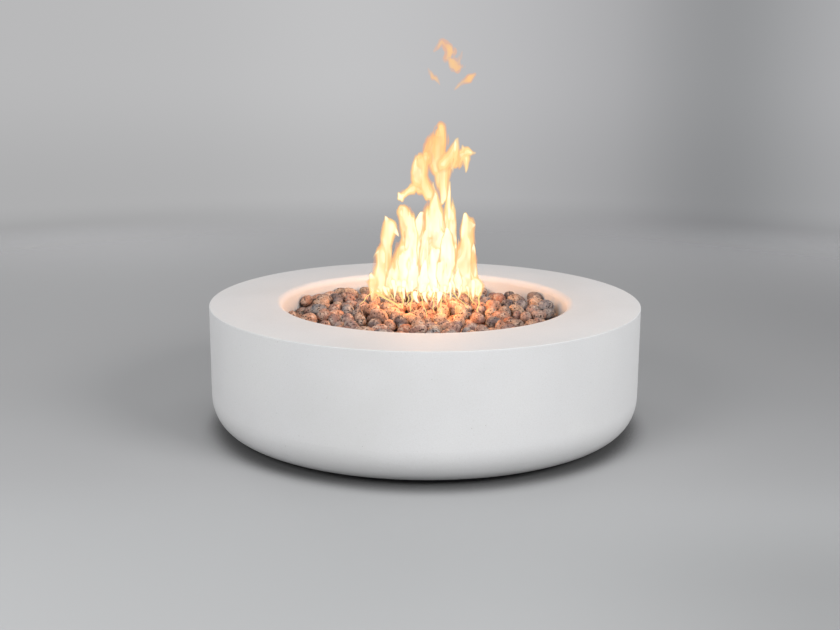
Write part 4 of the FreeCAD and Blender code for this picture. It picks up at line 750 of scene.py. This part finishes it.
# The block of air that the flames are worked out in, and the size of its cells.
FIRE_LOW = np.array((-0.20, -0.17, 0.275))
FIRE_HIGH = np.array((0.20, 0.17, 1.08))
FIRE_CELL = 0.003
# Thin threads of flame that run down between the stones in front, as the sideways place of the top and
# of the foot, the height of the foot, and the half width.
THREAD_BACK = -0.12
THREAD_TOP = 0.396
THREAD_SWAY = 0.0018
THREAD_SIDES = 6
THREAD_RINGS = 14
THREADS = [
    (-0.137, -0.060, 0.348, 0.0072), (-0.145, -0.177, 0.358, 0.0022), (-0.116, -0.137, 0.374, 0.0022),
    (-0.100, -0.079, 0.368, 0.0024), (-0.072, -0.056, 0.365, 0.0028), (-0.062, -0.060, 0.349, 0.0034),
    (-0.047, -0.045, 0.355, 0.0020), (-0.034, -0.041, 0.339, 0.0030), (-0.016, 0.007, 0.321, 0.0020),
    (0.004, 0.013, 0.373, 0.0024), (0.021, 0.024, 0.335, 0.0022), (0.029, 0.037, 0.337, 0.0020),
    (0.042, 0.045, 0.334, 0.0030), (0.053, 0.060, 0.355, 0.0018), (0.062, 0.089, 0.364, 0.0022),
    (0.072, 0.120, 0.348, 0.0022), (0.109, 0.139, 0.358, 0.0022), (0.118, 0.131, 0.362, 0.0020),
    (0.149, 0.143, 0.339, 0.0030),
]


def drift(shape, cells, chance):
    """Smooth random numbers from -1 to 1 over a block, with so many waves along each side."""
    block = chance.uniform(-1, 1, tuple(count + 2 for count in cells))
    for axis, (length, count) in enumerate(zip(shape, cells)):
        place = np.linspace(0, count, length)
        low = np.minimum(place.astype(int), count)
        part = (place - low).reshape([-1 if a == axis else 1 for a in range(3)])
        part = part * part * (3 - 2 * part)
        block = np.take(block, low, axis) * (1 - part) + np.take(block, low + 1, axis) * part
    return block


def along_licks(licks, x, y, z):
    """How deep each place is in the nearest lick: 1 on its line, 0 at its edge."""
    depth = np.full(x.shape, -1.0)
    for back, line in licks:
        for (x0, z0, w0), (x1, z1, w1) in zip(line, line[1:]):
            wide = max(w0, w1) + LICK_MARGIN
            ends = np.array([[min(x0, x1), back, min(z0, z1)], [max(x0, x1), back, max(z0, z1)]])
            first, last = ((ends + [[-wide], [wide]] - FIRE_LOW) / FIRE_CELL).astype(int)
            part = tuple(slice(max(a, 0), b + 2) for a, b in zip(first, last))
            px, py, pz = x[part] - x0, (y[part] - back) * LICK_FLATNESS, z[part] - z0
            run = np.array([x1 - x0, z1 - z0])
            t = np.clip((px * run[0] + pz * run[1]) / (run @ run), 0, 1)
            away = np.sqrt((px - t * run[0]) ** 2 + py ** 2 + (pz - t * run[1]) ** 2)
            depth[part] = np.maximum(depth[part], 1 - away / (w0 + (w1 - w0) * t) / LICK_SPREAD)
    return depth


def skin(field, level):
    """The closed surface on which a block of numbers passes a level, as points and four-sided faces."""
    inside = field > level
    cells = tuple(n - 1 for n in field.shape)
    corners = [(a, b, c) for a in (0, 1) for b in (0, 1) for c in (0, 1)]
    cut = {c: tuple(slice(o, o + n) for o, n in zip(c, cells)) for c in corners}
    total, crossings = np.zeros(cells + (3,)), np.zeros(cells)
    for axis in range(3):
        for one in corners:
            if one[axis]:
                continue
            two = tuple(o + (a == axis) for a, o in enumerate(one))
            a, b = field[cut[one]], field[cut[two]]
            crossed = inside[cut[one]] != inside[cut[two]]
            t = np.where(crossed, (level - a) / np.where(crossed, b - a, 1), 0)
            for k in range(3):
                total[..., k] += np.where(crossed, one[k] + (t if k == axis else 0), 0)
            crossings += crossed
    active = crossings > 0
    number = np.full(cells, -1)
    number[active] = np.arange(active.sum())
    places = (np.argwhere(active) + total[active] / crossings[active][:, None]) * FIRE_CELL + FIRE_LOW
    faces = []
    for axis in range(3):
        u, v = (axis + 1) % 3, (axis + 2) % 3
        here = [slice(1, n - 1) for n in field.shape]
        here[axis] = slice(0, field.shape[axis] - 1)
        there = list(here)
        there[axis] = slice(1, field.shape[axis])
        a, b = inside[tuple(here)], inside[tuple(there)]
        for leaving in (True, False):
            at = np.argwhere((a != b) & (a == leaving)) + [0 if k == axis else 1 for k in range(3)]
            ring = []
            for du, dv in ((-1, -1), (0, -1), (0, 0), (-1, 0)):
                cell = at.copy()
                cell[:, u] += du
                cell[:, v] += dv
                ring.append(number[tuple(cell.T)])
            faces.append(np.stack(ring if leaving else ring[::-1], 1))
    return places, np.concatenate(faces)


def burning(name, colour, thickness):
    """Glowing gas: the colour of a deep layer of it, and how thick it is where it hides what is behind."""
    f = Finish(name)
    glow = f.node("ShaderNodeEmission", None, {"Color": colour, "Strength": 1.0 / thickness})["Emission"]
    veil = f.node("ShaderNodeVolumeAbsorption", None,
                  {"Color": BLACK, "Density": 1.0 / thickness})["Volume"]
    return f.closed(f.node("ShaderNodeAddShader", None, {0: glow, 1: veil})["Shader"], "Volume")


def thread(top, foot, low, half_width):
    """One thin thread of flame: a tube that sways a little and tapers towards its foot."""
    along = np.linspace(0, 1, THREAD_RINGS)
    x = top + (foot - top) * along + np.sin(along * 12.0 + top * 90) * THREAD_SWAY
    z = THREAD_TOP + (low - THREAD_TOP) * along
    wide = half_width * (1 - 0.6 * along) * np.clip(np.minimum(along, 1 - along) * 18 + 0.15, 0, 1)
    turn = np.linspace(0, math.tau, THREAD_SIDES, endpoint=False)
    tube = np.stack((x[:, None] + np.cos(turn) * wide[:, None], THREAD_BACK + np.sin(turn) * wide[:, None],
                     np.repeat(z[:, None], THREAD_SIDES, 1)), 2).reshape(-1, 3)
    number = np.arange(THREAD_RINGS * THREAD_SIDES).reshape(THREAD_RINGS, THREAD_SIDES)
    beside = np.roll(number, -1, 1)
    faces = np.stack((number[:-1], beside[:-1], beside[1:], number[1:]), 2).reshape(-1, 4)
    return tube, faces


def root_licks(chance):
    """Thin short licks along the foot of the fire, each leaning its own way."""
    foot = np.linspace(-0.150, 0.152, ROOTS) + chance.uniform(-0.008, 0.008, ROOTS)
    back = chance.uniform(-0.135, -0.085, ROOTS)
    lean = chance.uniform(-0.026, 0.026, ROOTS)
    tip = chance.uniform(0.336, 0.366, ROOTS)
    top = chance.uniform(0.386, 0.424, ROOTS)
    wide = chance.uniform(0.0024, 0.0062, ROOTS)
    lines = np.stack((foot + lean, tip, np.full(ROOTS, 0.0012),
                      foot + lean * 0.3, tip + 0.022, wide * 0.6,
                      foot, top, wide), 1).reshape(ROOTS, 3, 3)
    return list(zip(back, lines))


def low_licks():
    """The upright short licks in the bed of the fire and behind it."""
    bed = [(back, [(x - 0.006, 0.377, 0.007), (x, 0.408, 0.015), (x + 0.003, 0.462, 0.004)])
           for x, back in BED_LICKS]
    rear = [(back, [(x, 0.341, 0.008), (x, 0.366, 0.010), (x, 0.389, 0.003)]) for x, back in REAR_LICKS]
    return bed + rear


def stage_flame(name, points, faces, finish):
    """Makes a flame that only the camera sees: the glow lamps light what is round it."""
    made = plain_mesh(name, points, faces, finish, True)
    made.visible_diffuse = made.visible_shadow = made.visible_glossy = False


def burning_air(chance):
    """How deep in the flames and how hot each cell of air is, and how near the fire's bright middle."""
    shape = tuple(np.ceil((FIRE_HIGH - FIRE_LOW) / FIRE_CELL).astype(int))
    x, y, z = np.meshgrid(*(FIRE_LOW[k] + np.arange(shape[k]) * FIRE_CELL for k in range(3)),
                          indexing="ij")
    # the licks, bent by slow waves and fine ripples of the air
    waves, ripples = (7, 5, 9), (19, 15, 26)
    bent = [axis + drift(shape, waves, chance) * 0.009 + drift(shape, ripples, chance) * 0.0045
            for axis in (x, y, z)]
    depth = along_licks(LICKS + low_licks() + root_licks(chance), *bent)
    middle = np.exp(-((bent[0] - 0.012) / 0.105) ** 2) * np.clip((0.66 - z) / 0.18, 0, 1)
    # streaks that run upwards, gaps that reach up between the roots, and narrow cuts, fewer in the middle
    streaks = drift(shape, (30, 24, 11), chance) * 0.65 + drift(shape, (64, 48, 30), chance) * 0.35
    fingers = drift(shape, (42, 34, 4), chance)
    root = np.clip((0.385 - z) / 0.045, 0, 1)
    cuts = np.clip(1 - np.abs(drift(shape, (24, 18, 8), chance)) * 5, 0, 1)
    depth = depth + streaks * 0.30 - cuts * (0.36 - middle * 0.14) - root * (0.50 - 0.9 * fingers)
    # thinner above the neck, and folded into hotter and cooler sheets
    depth = depth - np.interp(z, (0.80, 0.95), (0.0, 0.30))
    folds = drift(shape, (30, 24, 9), chance) * 0.6 + drift(shape, (60, 48, 22), chance) * 0.4
    heat = (depth + folds * 0.30) * np.interp(z, (0.35, 0.41, 0.60, 0.84, 0.92, 1.05),
                                              (0.45, 1.0, 1.0, 0.72, 0.40, 0.30))
    return depth, heat, middle


def fire():
    """The flames, in four layers that get hotter and denser inwards. They are light, so no body of the pit
    carries them."""
    depth, heat, middle = burning_air(np.random.default_rng(FIRE_SEED))
    for name, field, level, colour, thickness in (
            ("flame_edge", depth, 0.0, (1.0, 0.46, 0.22), 0.026),
            ("flame_body", heat, 0.10, (1.12, 0.75, 0.28), 0.015),
            ("flame_glow", heat * (0.66 + 0.55 * middle), 0.19, (1.4, 1.18, 0.56), 0.009),
            ("flame_heart", heat * (0.40 + 0.90 * middle), 0.23, (2.1, 2.05, 1.75), 0.005)):
        places, faces = skin(field, level)
        stage_flame(name, places.tolist(), faces.tolist(), burning(name, colour, thickness))
    f = Finish("flame_thread")
    bright = f.node("ShaderNodeEmission", None, {"Color": (1.0, 0.74, 0.28), "Strength": 1.1})["Emission"]
    points, faces = [], []
    for strand in THREADS:
        tube, around = thread(*strand)
        faces += (around + len(points)).tolist()
        points += tube.tolist()
    stage_flame("flame_threads", points, faces, f.closed(bright))


# ------------------------------------------------------------- light and view

# Where the camera is, in metres, how far it is turned down and how far it is tilted, in radians, and its
# lens and sensor in millimetres.
EYE = (-0.01365, -3.3541, 1.0514)
TURNED_DOWN = 0.21925
TILT = 0.00445
LENS = 52.08
SENSOR_WIDTH = 36.0


def soft_lamp(name, place, aim, size, power):
    """A round soft lamp aimed at a point, which the camera doesn't see."""
    lamp = bpy.data.lights.new(name, "AREA")
    lamp.shape, lamp.size, lamp.energy = "DISK", size, power
    made = placed(name, lamp)
    made.location = place
    made.rotation_euler = (Vector(aim) - Vector(place)).to_track_quat("-Z", "Y").to_euler()
    made.visible_camera = False


def glow_lamp(place, radius, power, colour):
    """Light that the fire throws on what is round it."""
    lamp = bpy.data.lights.new("fire_glow", "POINT")
    lamp.shadow_soft_size, lamp.energy, lamp.color = radius, power, colour
    made = placed("fire_glow", lamp)
    made.location = place
    made.visible_camera = False


def viewpoint():
    """The camera, level with a standing person's waist and turned down towards the pit."""
    camera = bpy.data.cameras.new("viewpoint")
    camera.sensor_fit, camera.sensor_width, camera.lens = "HORIZONTAL", SENSOR_WIDTH, LENS
    made = placed("viewpoint", camera)
    made.matrix_world = (Matrix.Translation(EYE) @ Matrix.Rotation(math.pi / 2 - TURNED_DOWN, 4, "X")
                         @ Matrix.Rotation(TILT, 4, "Z"))
    bpy.context.scene.camera = made


studio_floor()
studio_air()
fire()
soft_lamp("top", (0.1, 0.2, 3.7), (0, 0, 0.3), 2.6, 5.0)
soft_lamp("back_left", (-2.2, 3.3, 1.4), (0, 0, 0.15), 2.0, 27.0)
soft_lamp("back_right", (2.2, 3.3, 1.4), (0, 0, 0.15), 2.0, 27.0)
soft_lamp("key", (2.9, -2.8, 2.4), (0, 0, 0.2), 2.2, 119.0)
soft_lamp("fill", (-2.4, -3.1, 2.3), (0, 0, 0.2), 2.3, 90.0)
# The glow of the fire: a ring of lamps low among the flames, two in their middle and two in front.
RING_LAMPS = 5
for turn in range(RING_LAMPS):
    around = math.tau * (turn + 0.25) / RING_LAMPS
    glow_lamp((0.01 + 0.10 * math.cos(around), 0.10 * math.sin(around), 0.380), 0.030, 0.46,
              (1.0, 0.43, 0.12))
for height, power in ((0.50, 1.0), (0.66, 1.15)):
    glow_lamp((0.01, 0.0, height), 0.07, power, (1.0, 0.42, 0.14))
for place, power in (((0.02, -0.20, 0.47), 0.55), ((-0.15, -0.09, 0.41), 0.18)):
    glow_lamp(place, 0.05, power, (1.0, 0.46, 0.16))
viewpoint()
bpy.context.scene.view_settings.view_transform = "Standard"
